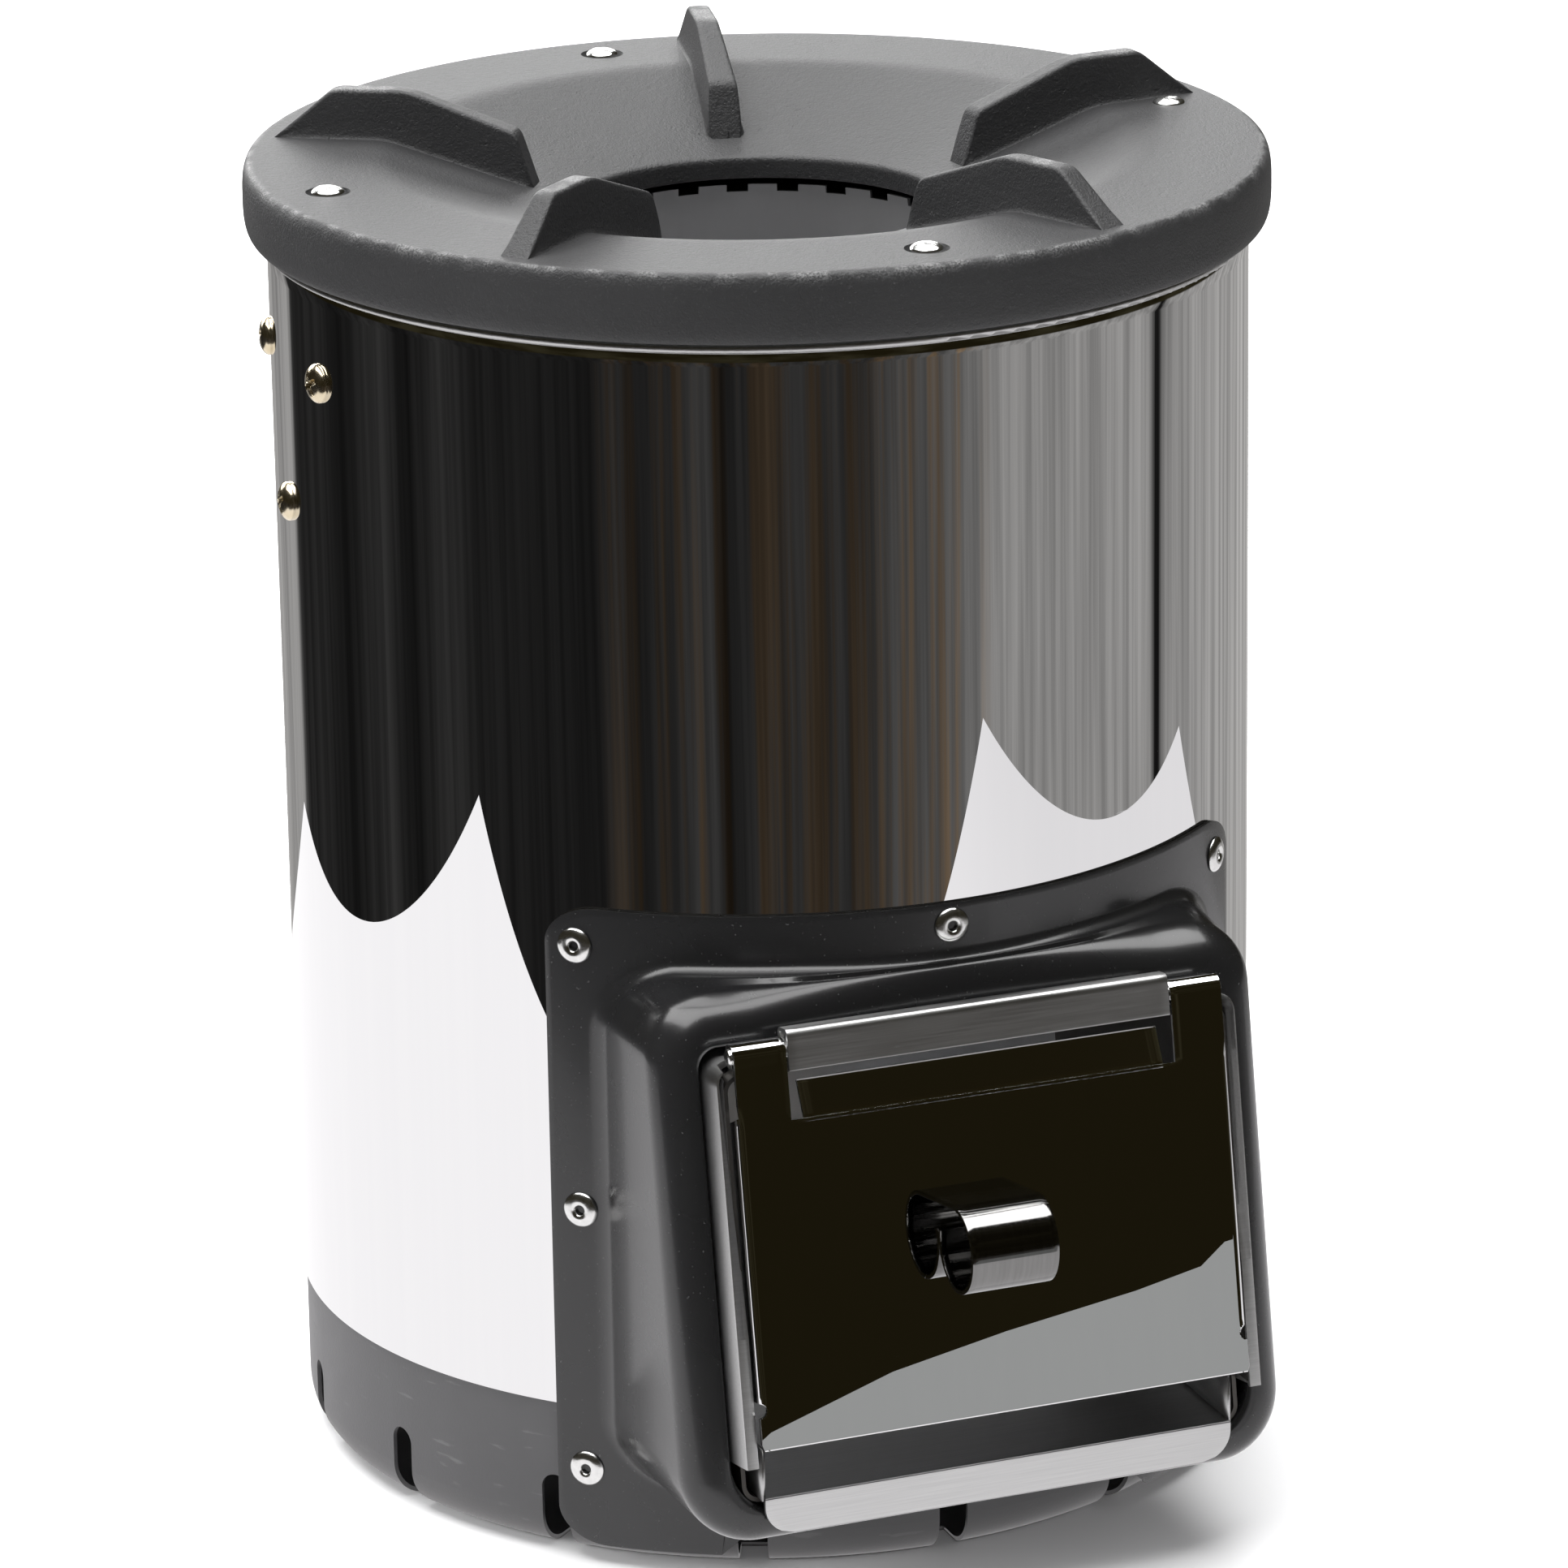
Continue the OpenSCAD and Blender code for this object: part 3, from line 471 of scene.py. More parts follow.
# ---------------------------------------------------------------------------
# Cast iron top. One sand casting: a rounded rim, a flat ring, a cone down to
# the flue, and five pot fins that thin towards their tops.
# ---------------------------------------------------------------------------
RIM_Z, RIM_R, RIM_H = 312.0, 120.2, 16.4
CONE_R, FLUE_R, CONE_Z = 88.0, 43.5, 298.6
FIN_Z, FIN_IN, FIN_TURN = 323.7, 52.4, 23
iron = Finish("cast_iron", Roughness=0.6)
sand = iron.noise(1900, 3, None, 0.65)
pits = iron.band(iron.noise(650, 4), 0.36, 0.26)
patch = iron.noise(30, 5)
# The base colour turns paler, in speckles, along the fins' tops and the rim's upper edge, as marked
# on the mesh below.
pale_edge = iron.node("Attribute", {"attribute_name": "pale_edge"}, {}, 2)
paled = pale_edge * iron.band(sand, 0.38, 0.6) * iron.band(iron.noise(160, 3), 0.4, 0.62)
skin = iron.blend(patch, (0.017, 0.017, 0.018), (0.027, 0.027, 0.028))
skin = iron.blend(iron.band(sand, 0.58, 0.75, 0, 0.5), skin, (0.07, 0.07, 0.07))
iron.feed(
    Base_Color=iron.blend(paled, skin, (0.16, 0.16, 0.16)),
    Roughness=sand * 0.2 + 0.42 - paled * 0.1,
    Normal=iron.bump(sand + iron.noise(720, 3) * 0.8 - pits * 0.6, 0.00034, 0.7),
)


def filleted(corners, radii, steps):
    """A line through corner points, each corner replaced by a curve of that many steps that
    starts a radius before it. Each curve is a quadratic one that leans on its corner."""
    corners = np.asarray(corners, float)
    parts = [corners[:1]]
    s = np.linspace(0, 1, steps)[:, None]
    for before, at, after, radius in zip(corners, corners[1:], corners[2:], radii):
        start = at + (before - at) * min(0.49, radius / np.linalg.norm(before - at))
        end = at + (after - at) * min(0.49, radius / np.linalg.norm(after - at))
        parts.append((1 - s) ** 2 * start + 2 * s * (1 - s) * at + s * s * end)
    return np.concatenate(parts + [corners[-1:]])


def finer(line, step):
    """A line with points added so that none is further than a step from the next."""
    gaps = np.linalg.norm(np.diff(line, axis=0), axis=1)
    along = np.concatenate([[0], np.cumsum(gaps)])
    wanted = np.unique(np.concatenate([along, np.arange(0, along[-1], step)]))
    wanted = wanted[np.concatenate([[True], np.diff(wanted) > 1e-6])]
    return np.stack([np.interp(wanted, along, line[:, i]) for i in range(line.shape[1])], 1)


a = np.radians(np.linspace(90, -90, 25))
RIM_ROUND, UNDER_R, UNDER_Z = 2.8, 114.2, 306.5
oval_r = RIM_R - RIM_ROUND + RIM_ROUND * np.abs(np.cos(a)) ** (2 / 3)
oval_z = RIM_Z - RIM_H / 2 + RIM_H / 2 * np.sign(a) * np.abs(np.sin(a)) ** (2 / 3)
top_line = filleted([(FLUE_R, CONE_Z - 5.0), (FLUE_R, CONE_Z), (CONE_R, RIM_Z), (oval_r[0], RIM_Z)],
                    [1.2, 3.2], 7)
under_line = filleted([(oval_r[-1], RIM_Z - RIM_H), (UNDER_R, RIM_Z - RIM_H), (UNDER_R, UNDER_Z),
                       (89, UNDER_Z), (FLUE_R, CONE_Z - 5.0)], [1.0, 2.0, 6.0], 5)
ring = np.concatenate([finer(top_line, 1.6), np.stack([oval_r, oval_z], 1)[1:-1],
                       finer(under_line, 3.0)])
body = around(np.linspace(0, 360, 300, endpoint=False)[None, :], ring[:, :1], ring[:, 1:])


def surface_z(r):
    """Height of the iron's top face at a radius, cone and ring with their soft join."""
    order = np.argsort(top_line[3:, 0])
    return np.interp(r, top_line[3:, 0][order], top_line[3:, 1][order])


def fin(turn):
    """A fin as sections across it at stations along the radius. A section rises from a small
    hollow at its foot, leans in as it goes up, and rounds over at the top. Half its thickness
    falls evenly with height, and its inner end comes to a blunt nose."""
    crest = filleted([(FIN_IN, 300.9), (56.7, 314.2), (83, FIN_Z), (100.5, FIN_Z), (115.2, 311.6)],
                     [1.6, 3.0, 2.2], 7)
    crest = finer(crest, 1.5)
    r, top = crest[:, 0:1], crest[:, 1:2]
    foot = np.minimum(surface_z(r) - 0.4, top)
    tall = top - foot
    hollow = np.minimum(1.6, 0.35 * tall)
    bend = np.minimum(1.0, 0.3 * tall)
    lean = lambda h: 4.8 - (h - 294.6) * (4.8 - 2.65) / 29.1
    nose = 1.1 * np.clip(1 - (r - FIN_IN) / 3.2, 0, 1) ** 2
    q = np.linspace(0, math.pi / 2, 5)
    up = np.linspace(0, 1, 6)[1:-1]
    x = np.concatenate([
        lean(foot) + hollow * (1 - np.sin(q)),
        lean(foot + hollow + (tall - hollow - bend) * up) + 0 * r,
        lean(top - bend) - bend * (1 - np.cos(q)),
        (lean(top) - bend) * np.array([0.66, 0.33, 0.0]),
    ], 1) - nose
    z = np.concatenate([
        foot + hollow * (1 - np.cos(q)),
        foot + hollow + (tall - hollow - bend) * up,
        top - bend + bend * np.sin(q),
        top + np.zeros(3),
    ], 1)
    x = np.concatenate([x, -x[:, -2::-1]], 1)
    z = np.concatenate([z, z[:, -2::-1]], 1)
    c, s = math.cos(math.radians(turn)), math.sin(math.radians(turn))
    r = r + 0 * x
    return np.stack([r * s + x * c, -r * c + x * s, z], -1)


fins = [(fin(FIN_TURN + 72 * i), False, False) for i in range(5)]
top = piece("cast_iron_pot_stand", [(body, True, True)] + fins, iron, "stove",
            ["cast_iron_top"], sharp=75)


def cut(made, name, grids):
    """Cuts closed shapes out of a piece for good."""
    tool = piece(name, grids, iron, "stove")
    hole = made.modifiers.new("hole", "BOOLEAN")
    hole.object, hole.operation, hole.solver = tool, "DIFFERENCE", "EXACT"
    bpy.context.view_layer.objects.active = made
    bpy.ops.object.modifier_apply(modifier=hole.name)
    bpy.data.objects.remove(tool)


BOLT_R = 105.2
recess_r = np.array([0.001, 2.6, 2.6, 4.3, 4.6, 5.2, 6.0, 0.001])
recess_h = np.array([-22.0, -22.0, -1.7, -1.7, -1.4, 0.02, 2.0, 2.0])
pocket = spun(recess_r, recess_h, 40) + np.array([0, 0, RIM_Z])
cut(top, "bolt_pockets", [(pocket + around(90.0 * i, BOLT_R, 0), False, True) for i in range(4)])
# The fins' tops and the rim's upper edge are marked here, to be made paler, in speckles, and
# smoother.
mesh = top.data
spot = np.zeros(len(mesh.vertices) * 3)
mesh.vertices.foreach_get("co", spot)
spot = spot.reshape(-1, 3) / MM
reach = np.hypot(spot[:, 0], spot[:, 1])
crest_pale = np.clip(1 - np.abs(spot[:, 2] - FIN_Z) / 0.9, 0, 1) * (spot[:, 2] > 318)
rim_pale = np.clip(1 - np.abs(reach - 118.6) / 1.3, 0, 1) * np.clip((spot[:, 2] - 308) / 3, 0, 1)
mark = mesh.attributes.new("pale_edge", "FLOAT", "POINT")
mark.data.foreach_set("value", np.clip(crest_pale * 0.8 + rim_pale, 0, 1))
mesh.shade_smooth()
mesh.set_sharp_from_angle(angle=math.radians(48))

# ---------------------------------------------------------------------------
# Top bolts and their nuts. Four bright bolts hold the casting to the cover;
# their domed heads sit in shallow pockets and carry small dents.
# ---------------------------------------------------------------------------
head_r = np.array([0.001, 0.8, 1.8, 2.6, 3.2, 3.6, 3.85, 3.95, 3.95, 2.5, 2.5, 0.001])
head_h = np.array([1.50, 1.47, 1.33, 1.12, 0.86, 0.56, 0.24, 0.0, -1.4, -1.66, -24.0, -24.0])
head = spun(head_r, head_h, 40)
dents = 0.10 * np.sin(head[..., 0] * 2.1 + 1) * np.sin(head[..., 1] * 2.6) * (head[..., 2] > 0.1)
head = head + np.stack([0 * dents, 0 * dents, dents], -1) + np.array([0, 0, RIM_Z - 0.1])
piece("top_bolt_heads", [(head + around(90.0 * i, BOLT_R, 0), False, True) for i in range(4)],
      bright_steel, "stove", ["top_bolts"], sharp=50)
nickel = Finish("nickel_plate", Metallic=1.0)
blotch = nickel.noise(320, 3)
nickel.feed(
    Base_Color=nickel.blend(blotch, (0.62, 0.50, 0.30), (0.84, 0.77, 0.62)),
    Roughness=blotch * 0.14 + 0.14,
    Normal=nickel.bump(blotch, 0.00008, 0.4),
)
wear("top_nuts", nickel)

# ---------------------------------------------------------------------------
# Side screws. Three pan-head cross-recess screws on each side, nickel plated
# with a warm tint, which hold a backing plate inside the shell.
# ---------------------------------------------------------------------------
wear("side_plates", plain_steel)
wear("side_nuts", nickel)
spread = np.array([0.001, 0.3, 0.6, 0.9, 1.2, 1.5, 1.8, 2.1, 2.4, 2.8, 3.2, 3.6, 3.95, 4.25, 4.45,
                   4.56, 4.6, 4.6, 4.4, 2.45, 2.45, 0.001])
dome = np.array([2.6, 2.6, 2.59, 2.58, 2.55, 2.51, 2.46, 2.39, 2.31, 2.18, 2.0, 1.77, 1.5, 1.18,
                 0.86, 0.56, 0.3, 0.06, -0.4, -0.5, -7.0, -7.0])
screw = spun(spread, dome, 72)
arm = np.minimum(np.abs(screw[..., 0]), np.abs(screw[..., 1]))
long = np.maximum(np.abs(screw[..., 0]), np.abs(screw[..., 1]))
# The cross recess goes down where a point lies near either line through the head's middle.
cross = (np.clip((0.62 - arm) / 0.22, 0, 1) * np.clip((2.6 - long) / 0.4, 0, 1)
         * (screw[..., 2] > 0))
screw = screw - np.stack([0 * cross, 0 * cross, 1.35 * cross], -1)
triangle = [(-82.2, 271.4), (-105.0, 271.4), (-93.6, 237.5)]
piece("side_screw_heads",
      [(planted(screw, s * turn, SHELL_R + 0.02, h, 30), False, True)
       for s in (1, -1) for turn, h in triangle],
      nickel, "stove", ["side_screws"], sharp=40)

# ---------------------------------------------------------------------------
# Door frame. Brushed stainless strip bent round the mouth, with a narrow hem
# facing forward and a lip that rolls over the hinge rod between the ears.
# ---------------------------------------------------------------------------


def up_door(points):
    """Points measured across, in behind the frame's front plane, and up the slope, put in place."""
    x, y, z = points[..., 0], points[..., 1], points[..., 2]
    c, s = math.cos(SLOPE), math.sin(SLOPE)
    return np.stack([x, -FRAME_Y + y * c + z * s, DOOR_Z - y * s + z * c], -1)


def across(line, x0, x1, steps):
    """A bent line in Y and Z carried sideways from x0 to x1, in that many places."""
    x = np.linspace(x0, x1, steps)
    grid = np.zeros((len(line), steps, 3))
    grid[..., 0], grid[..., 1], grid[..., 2] = x, line[:, :1], line[:, 1:]
    return grid


HINGE_Y, HINGE_Z, KNUCKLE = 1.2, 47.5, 3.0
LEAF_Y = HINGE_Y - KNUCKLE
EAR_IN, EAR_OUT, DOOR_HALF = 47.0, 59.5, 60.0


def arch(half, foot, top, r):
    """X and Z up the left side of an arch, over its rounded top corners and down the right."""
    q = np.linspace(0, math.pi / 2, 9)
    x = np.concatenate([[half, half], half - r + r * np.cos(q), [0.0]])
    z = np.concatenate([[foot, foot + 30], top - r + r * np.sin(q), [top]])
    return np.concatenate([x, -x[-2::-1]]), np.concatenate([z, z[-2::-1]])


# Going round the section: back edge of the side, front corner, hem, and the hem's inner return.
section = [(0.0, 24.0), (0.0, 0.5), (0.15, 0.12), (0.5, 0.0), (2.6, 0.0), (2.85, 0.1),
           (2.9, 0.35), (2.9, 0.95), (2.6, 1.1), (2.0, 1.1), (1.9, 1.3), (1.9, 24.0)]
rows = []
for inset, depth in section:
    ax, az = arch(63.5 - inset, -46.6, 46.45 - inset, max(5.2 - inset, 1.2))
    rows.append(np.stack([ax, depth + 0 * ax, az], -1))
strip = np.stack(rows)
# Along the top the hem's return lies further in, which leaves room for the rolled lip.
hem_top = strip[..., 2] > 39.9
inner_top = hem_top & (np.abs(strip[..., 0]) < 61.2)
strip[..., 1] = np.where(inner_top, np.maximum(strip[..., 1], 5.0), strip[..., 1])
strip = capped(strip.transpose(1, 0, 2))
piece("door_frame_strip", [(up_door(strip), False, True)], brushed, "stove",
      ["door_frame"], sharp=40)
HINGE_CENTRE = (0, -129.57, 137.57)
lip_line = filleted([(1.4, 45.6), (4.1, 45.6), (4.1, 52.5), (LEAF_Y, 52.5), (LEAF_Y, 43.0)],
                    [0.8, 1.6, 1.8], 7)
lip = piece("rolled_lip", [(up_door(across(finer(lip_line, 1.0), -46.5, 46.5, 40)), False, False)],
            brushed, "stove", sharp=60, away=HINGE_CENTRE)
thicken(lip, 0.9, 0.12)

# ---------------------------------------------------------------------------
# Hinge rod. A plain stainless wire that lies in the frame's lip and passes
# through both ears of the door; its ends are chamfered.
# ---------------------------------------------------------------------------
rod_r = np.array([0.001, 1.5, 1.85, 2.0, 2.0, 1.85, 1.5, 0.001])
rod_x = np.array([-60.2, -60.2, -60.0, -59.6, 59.6, 60.0, 60.2, 60.2])
rod = spun(rod_r, rod_x, 32)
rod = np.stack([rod[..., 2], HINGE_Y + rod[..., 0], HINGE_Z + rod[..., 1]], -1)
piece("hinge_wire", [(up_door(rod), False, True)], bright_steel, "stove",
      ["hinge_rod"])

# ---------------------------------------------------------------------------
# Door. One blank of 1 mm mirror-polished stainless: a flat leaf with two sides
# folded back, a stiffening fold along its top, and two ears rolled round the rod.
# ---------------------------------------------------------------------------
rise = np.concatenate([[-42.5, -42.2], np.linspace(-41, -35, 4), np.linspace(-34.9, -31.5, 11),
                       np.linspace(-30, 30, 21), [31.2, 32.0], np.linspace(34, HINGE_Z, 6)])
q = np.radians(np.linspace(180, -120, 41))[1:]
sheet_y = np.concatenate([0 * rise, KNUCKLE + KNUCKLE * np.cos(q)])
sheet_z = np.concatenate([rise, HINGE_Z + KNUCKLE * np.sin(q)])
fold = filleted([(DOOR_HALF, 6.0), (DOOR_HALF, 0.0), (0.0, 0.0)], [1.6], 8)
stations = np.concatenate([[EAR_OUT - 1.4], np.linspace(56, EAR_IN, 5), np.linspace(44, 0, 12)])
fold = np.concatenate([fold[:-1], np.stack([stations, 0 * stations], 1)])
# A round notch, 1.7 mm in radius, relieves each side fold at its foot.
notch = np.sqrt(np.clip(1.7 ** 2 - (sheet_z + 33.2) ** 2, 0, None))
row = np.arange(len(sheet_z))
in_leaf = row < len(rise) - 6
folded = (in_leaf & (sheet_z > -31.6))[:, None]
edge = np.where(in_leaf, DOOR_HALF - notch, EAR_OUT)[:, None]
sx = np.where(folded, fold[:, 0], np.minimum(fold[:, 0], edge))
sy = np.where(folded, fold[:, 1], 0.0) + sheet_y[:, None]
low = sheet_z[:, None] < -41.5
sx = np.where(low & (sx > DOOR_HALF - 1.5), sx - 0.5 * (-41.5 - sheet_z[:, None]), sx)
sx = np.concatenate([sx, -sx[:, -2::-1]], 1)
sy = np.concatenate([sy, sy[:, -2::-1]], 1)
sz = sheet_z[:, None] + 0 * sx
middle = (np.abs(sx[:-1, :-1]) + np.abs(sx[:-1, 1:])) / 2
in_sheet = (row[:-1, None] < len(rise) - 7) | (middle > EAR_IN)
leaf = piece("door_leaf", [(up_door(np.stack([sx, sy + LEAF_Y, sz], -1)), False, False)],
             mirror, "door", ["door_panel"], sharp=60, away=(0, -60, 91),
             keep=[in_sheet])
thicken(leaf, 0.95, 0.12)
FOLD_BACK, FOLD_DEEP = math.radians(20), 9
fold_line = filleted([(LEAF_Y, 31.0), (LEAF_Y, 32.0),
                      (LEAF_Y + FOLD_DEEP * math.sin(FOLD_BACK),
                       32.0 + FOLD_DEEP * math.cos(FOLD_BACK))], [0.8], 6)
top_fold = piece("door_top_fold",
                 [(up_door(across(finer(fold_line, 1.0), -44, 44, 30)), False, False)],
                 mirror, "door", sharp=60, away=(0, -60, 150))
thicken(top_fold, 0.95, 0.12)

# ---------------------------------------------------------------------------
# Curled handle. A strip of the same polished steel that comes through a slot in
# the leaf and rolls forward and under, so that a finger or a hook can lift it.
# ---------------------------------------------------------------------------
# The curl is the door's mirror steel, but its base colour is set far darker: painted shade that dims
# its reflections.
shaded_mirror_steel = Finish("shaded_mirror_steel", Metallic=1.0)
drawn = shaded_mirror_steel.noise(1, 4, shaded_mirror_steel.stretched(1500, 90, 90))
shaded_mirror_steel.feed(
    Base_Color=shaded_mirror_steel.blend(drawn, (0.17, 0.168, 0.165), (0.235, 0.232, 0.228)),
    Roughness=drawn * 0.08 + 0.06,
    Normal=shaded_mirror_steel.bump(drawn, 0.000004, 0.4),
)
CURL_R, CURL_T = 10.2, 1.0
curl_y = LEAF_Y - CURL_R - 0.02
CURL_CENTRE = (-3.5, -151.0, 92.1)
q = np.radians(np.linspace(90, 378, 73))
spiral = np.stack([curl_y + CURL_R * np.cos(q), -1 + CURL_R * np.sin(q)], 1)
tail = filleted([(LEAF_Y + 2.0, 16.5), (LEAF_Y + 2.0, CURL_R - 1), (curl_y, CURL_R - 1)], [0.9], 5)
curl_line = finer(np.concatenate([tail[:-1], spiral]), 0.8)
curl = piece("curled_handle", [(up_door(across(curl_line, -14, 7, 14)), False, False)],
             shaded_mirror_steel, "door", ["curl_handle"], sharp=60, away=CURL_CENTRE)
thicken(curl, CURL_T, 0.15)

# ---------------------------------------------------------------------------
# Fuel shelf. A brushed stainless tray that slides in the tunnel on its floor,
# with low walls at its sides and back and a rounded lip that hangs in front.
# ---------------------------------------------------------------------------
LIP_Y, SHELF_Z, SHELF_HALF, SHELF_BACK = -141.7, 35.5, 57.6, -19.7
LIP_DROP, LIP_ROUND = 9.2, 7
depth = np.concatenate([np.linspace(0, LIP_ROUND, 10), [8.2, LIP_DROP]])
drop = SHELF_Z - LIP_DROP + depth
to_go = LIP_ROUND - depth
narrow = np.where(depth < LIP_ROUND,
                  LIP_ROUND - np.sqrt(np.clip(LIP_ROUND ** 2 - to_go ** 2, 0, None)), 0)
u = np.linspace(-1, 1, 60)
front = np.stack([u * (SHELF_HALF - narrow[:, None]), LIP_Y - 1 + 0 * drop[:, None] + 0 * u,
                  drop[:, None] + 0 * u], -1)
bend = filleted([(LIP_Y - 1, SHELF_Z - 0.4), (LIP_Y - 1, SHELF_Z), (LIP_Y + 3, SHELF_Z)], [0.9], 6)
floor_line = np.concatenate([bend, [[LIP_Y + 60, SHELF_Z], [-20.2, SHELF_Z]]])
tray_floor = across(finer(floor_line, 6.0), -SHELF_HALF, SHELF_HALF, 60)
shelf = piece("shelf_tray", [(front, False, False), (tray_floor, False, False)], brushed, "shelf",
              ["fuel_shelf"], sharp=60, away=(0, -80, 0))
thicken(shelf, 1.0, 0.2)
walls = []
for s in (-1, 1):
    wall_y, wall_z = np.meshgrid(np.linspace(LIP_Y, SHELF_BACK, 24),
                                 np.array([SHELF_Z - 1, SHELF_Z + 3, SHELF_Z + 11.5]))
    walls.append((np.stack([s * SHELF_HALF + 0 * wall_y, wall_y, wall_z], -1), False, False))
back_x, back_z = np.meshgrid(np.linspace(-SHELF_HALF, SHELF_HALF, 20),
                             np.array([SHELF_Z - 1, SHELF_Z + 5.5]))
walls.append((np.stack([back_x, SHELF_BACK + 0 * back_x, back_z], -1), False, False))
tray_walls = piece("shelf_walls", walls, brushed, "shelf", sharp=60,
                   away=(0, -80, 40))
wall = tray_walls.modifiers.new("wall", "SOLIDIFY")
wall.thickness, wall.offset = 0.8 * MM, 0

# ---------------------------------------------------------------------------
# Studio: a plain pale floor, soft light from above, and a dark room that the mirror-polished steel
# reflects past the edge of a glowing sheet under the stove, which only mirrors see: a painted
# reflection of a lit white sheet.
# ---------------------------------------------------------------------------


def board(name, corners, finish, **rays):
    """A flat stage piece with those corners, and the kinds of ray that see it."""
    mesh = bpy.data.meshes.new(name)
    mesh.from_pydata(corners, [], [list(range(len(corners)))])
    mesh.materials.append(finish.material)
    made = bpy.data.objects.new(name, mesh)
    bpy.context.scene.collection.objects.link(made)
    for ray, seen in rays.items():
        setattr(made, "visible_" + ray, seen)


paper = Finish("pale_floor", Roughness=0.9, Base_Color=(0.86, 0.86, 0.865, 1))
board("floor", [(-9, -9, 0), (9, -9, 0), (9, 9, 0), (-9, 9, 0)], paper, glossy=False)
# The sheet under the stove is a glowing panel that only mirrors see, pale at its left and darker to
# the right: a painted reflection with painted falloff of light.
sheet = Finish("glowing_reflection_sheet", Roughness=1.0, Base_Color=(0, 0, 0, 1), Emission_Strength=1.1)
painted_falloff = sheet.band(sheet.node("SeparateXYZ", {}, {0: sheet.place}, 0), -0.1, 0.45)
sheet.feed(Emission_Color=sheet.blend(painted_falloff, (1, 0.985, 1), (0.8, 0.785, 0.8)))
SHEET_Z = 0.0004
board("glowing_reflection_sheet",
      [(-0.65, -0.04, SHEET_Z), (0.34, -0.66, SHEET_Z), (0.65, -0.05, SHEET_Z),
       (-0.23, 0.49, SHEET_Z)],
      sheet, camera=False, diffuse=False, shadow=False)
# A small glowing card, seen only in mirrors, stands in for a lit card near the stove: a painted
# reflection.
card = Finish("glowing_reflection_card", Roughness=1.0, Base_Color=(0, 0, 0, 1), Emission_Color=(0.98, 1, 0.99, 1),
              Emission_Strength=0.36)
CARD_Y = -0.34
card_edge = [(-0.012, 0.022), (0.146, 0.022), (0.146, 0.0695), (0.138, 0.0684), (0.1306, 0.0632),
             (0.112, 0.0597), (0.0754, 0.0548), (0.0435, 0.0493), (0.0092, 0.0392), (0.0, 0.0335),
             (-0.012, 0.030)]
board("low_glowing_card", [(x, CARD_Y, z) for x, z in card_edge], card, camera=False, diffuse=False,
      shadow=False)

world = bpy.data.worlds.new("studio")
bpy.context.scene.world = world
world.use_nodes = True


class Room(Finish):
    """The node helper again, over the world's own tree."""

    def __init__(self, made):
        self.tree = made.node_tree
        self.tree.nodes.clear()


room = Room(world)
look = room.node("TexCoord", {}, {}, 0)
east = room.node("SeparateXYZ", {}, {0: look}, 0)
south = room.node("SeparateXYZ", {}, {0: look}, 1) * -1.0
high = room.node("SeparateXYZ", {}, {0: look}, 2)
compass = room.node("Math", {"operation": "ARCTAN2"}, {0: east, 1: south})
# Turns from the door line, in degrees, and what stands there: dark hangings with gaps, brown
# timber ahead, a pale grey wall to the right with a dark post in front of it.
sights = [(-180, 0.30), (-166, 0.30), (-163, 0.018), (-150, 0.02), (-136, 0.008), (-121, 0.03),
          (-112, 0.007), (-101, 0.028), (-92, 0.014), (-60, 0.011), (-55, 0.03), (-50, 0.012),
          (-34, 0.04), (-30, 0.009), (-22, 0.03), (4, 0.03), (8, 0.06), (22, 0.09), (29, 0.18),
          (33, 0.28), (80, 0.33), (82.5, 0.30), (83.5, 0.009), (86, 0.009), (87.5, 0.28),
          (100, 0.36), (128, 0.4), (150, 0.46), (170, 0.4), (180, 0.30)]
stops = [((turn + 180) / 360, (grey,) * 3) for turn, grey in sights]
wander = room.noise(1, 3, room.node("Mapping", {}, {"Vector": look, "Scale": (16, 16, 0.5)}), 0.6)
around_room = compass / (2 * math.pi) + 0.5 + (wander - 0.5) * 0.012
tone = room.node("ValToRGB", {"stops": stops}, {0: around_room})
timber = (room.band(compass, -1.1, -0.9) * room.band(compass, 0.6, 0.45)
          * room.band(wander, 0.42, 0.62))
tinted = room.blend(timber, (1, 0.98, 0.96), (1.35, 0.95, 0.6))
tone = room.node("VectorMath", {"operation": "MULTIPLY"}, {0: tone, 1: tinted})
fine = room.node("Mapping", {}, {"Vector": look, "Scale": (24, 24, 0.3)})
streak = room.band(room.noise(1, 4, fine, 0.6), 0.3, 0.7, 0.72, 1.28)
tone = room.node("VectorMath", {"operation": "MULTIPLY"},
                 {0: tone, 1: room.node("CombineXYZ", {}, {0: streak, 1: streak, 2: streak})})
olive = room.blend(room.band(room.noise(5, 3, look), 0.4, 0.7),
                   (0.012, 0.0095, 0.004), (0.03, 0.026, 0.014))
tone = room.blend(room.band(high, -0.14, -0.11), tone, olive)
dark = room.node("Background", {}, {"Color": tone, "Strength": 1.0})
pale = room.node("Background", {}, {"Color": (1, 1, 1, 1), "Strength": 0.35})
seen = room.node("Background", {}, {"Color": (1, 1, 1, 1), "Strength": 1.0})
in_glass = room.node("LightPath", {}, {}, "Is Glossy Ray")
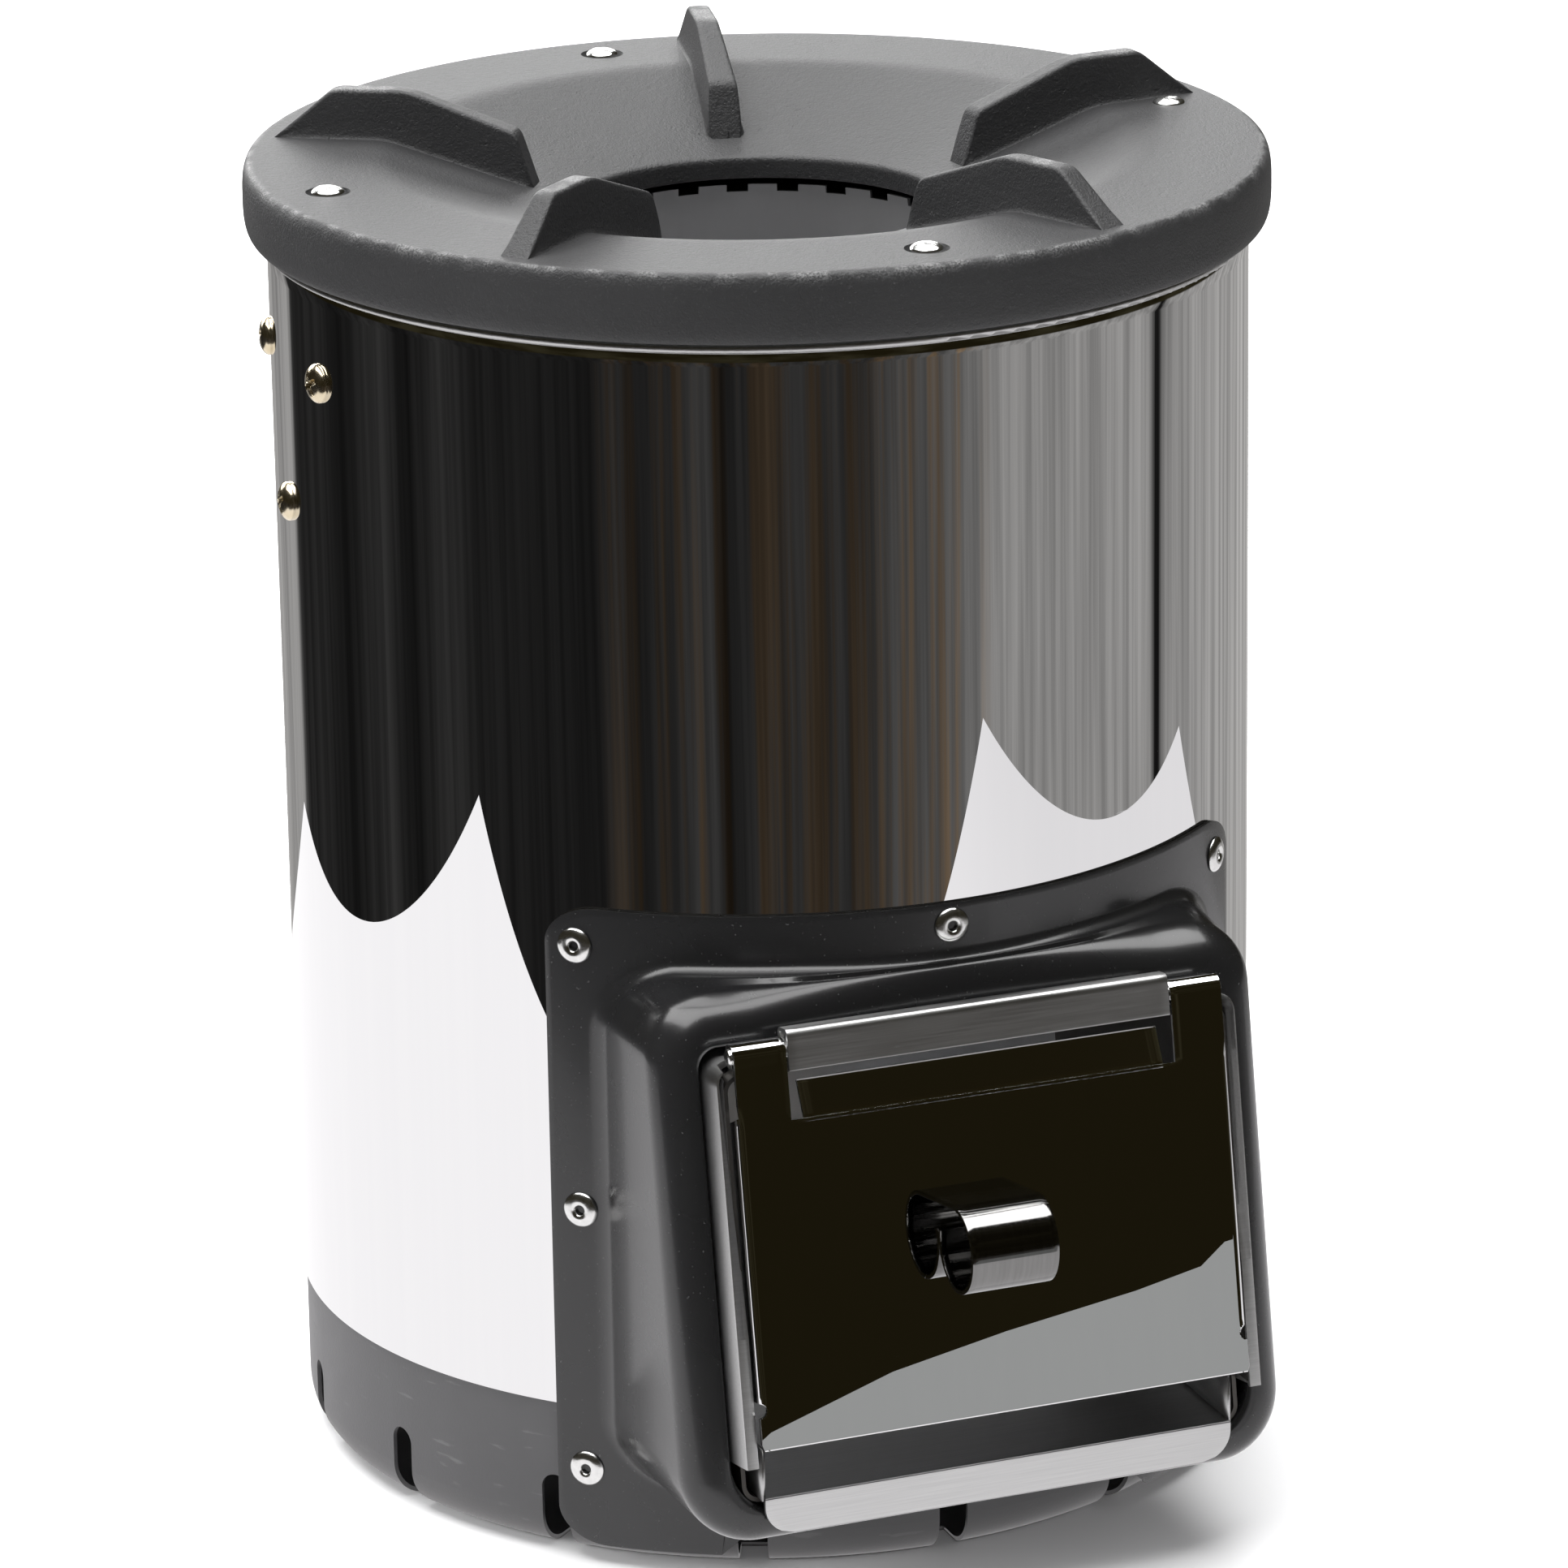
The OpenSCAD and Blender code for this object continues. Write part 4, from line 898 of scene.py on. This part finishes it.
by_eye = room.node("LightPath", {}, {}, "Is Camera Ray")
soft = room.node("MixShader", {}, {0: by_eye, 1: pale, 2: seen})
whole = room.node("MixShader", {}, {0: in_glass, 1: soft, 2: dark})
room.tree.links.new(whole.socket, room.tree.nodes.new("ShaderNodeOutputWorld").inputs["Surface"])


def lamp(name, place, aim, wide, tall, power, mirrored=True):
    """An oblong soft light at a place, facing a point, that mirrors may or may not show."""
    data = bpy.data.lights.new(name, "AREA")
    data.shape, data.size, data.size_y, data.energy = "RECTANGLE", wide, tall, power
    made = bpy.data.objects.new(name, data)
    bpy.context.scene.collection.objects.link(made)
    made.visible_camera, made.visible_glossy = False, mirrored
    made.location = place
    made.rotation_euler = (Vector(aim) - Vector(place)).to_track_quat("-Z", "Y").to_euler()


lamp("overhead", (-0.1, 0.25, 2.6), (0, 0, 0), 3.2, 3.2, 178)
lamp("back_box", (0.0, 1.9, 0.9), (0, 0, 0.3), 2.4, 1.0, 32)
lamp("left_box", (-2.2, -0.2, 0.8), (0, 0, 0.1), 1.4, 1.2, 34, mirrored=False)
bpy.context.scene.view_settings.view_transform = "Standard"

camera = bpy.data.objects.new("camera", bpy.data.cameras.new("camera"))
bpy.context.scene.collection.objects.link(camera)
bpy.context.scene.camera = camera
camera.data.lens, camera.data.sensor_width = 183.0, 36.0
camera.data.clip_start, camera.data.clip_end = 0.05, 60
AIM_Z, AIM_RIGHT, DISTANCE = 0.155, 0.0041, 1.911
e, a, roll = math.radians(18.21), math.radians(-21.0), math.radians(-0.91)
back = np.array([math.sin(a) * math.cos(e), -math.cos(a) * math.cos(e), math.sin(e)])
right = np.array([math.cos(a), math.sin(a), 0.0])
up = np.cross(back, right)
eye = np.array([0, 0, AIM_Z]) + right * AIM_RIGHT + back * DISTANCE
across_view = math.cos(roll) * right + math.sin(roll) * up
up_view = -math.sin(roll) * right + math.cos(roll) * up
matrix = np.eye(4)
matrix[:3] = np.stack([across_view, up_view, back, eye], 1)
camera.matrix_world = Matrix(matrix)
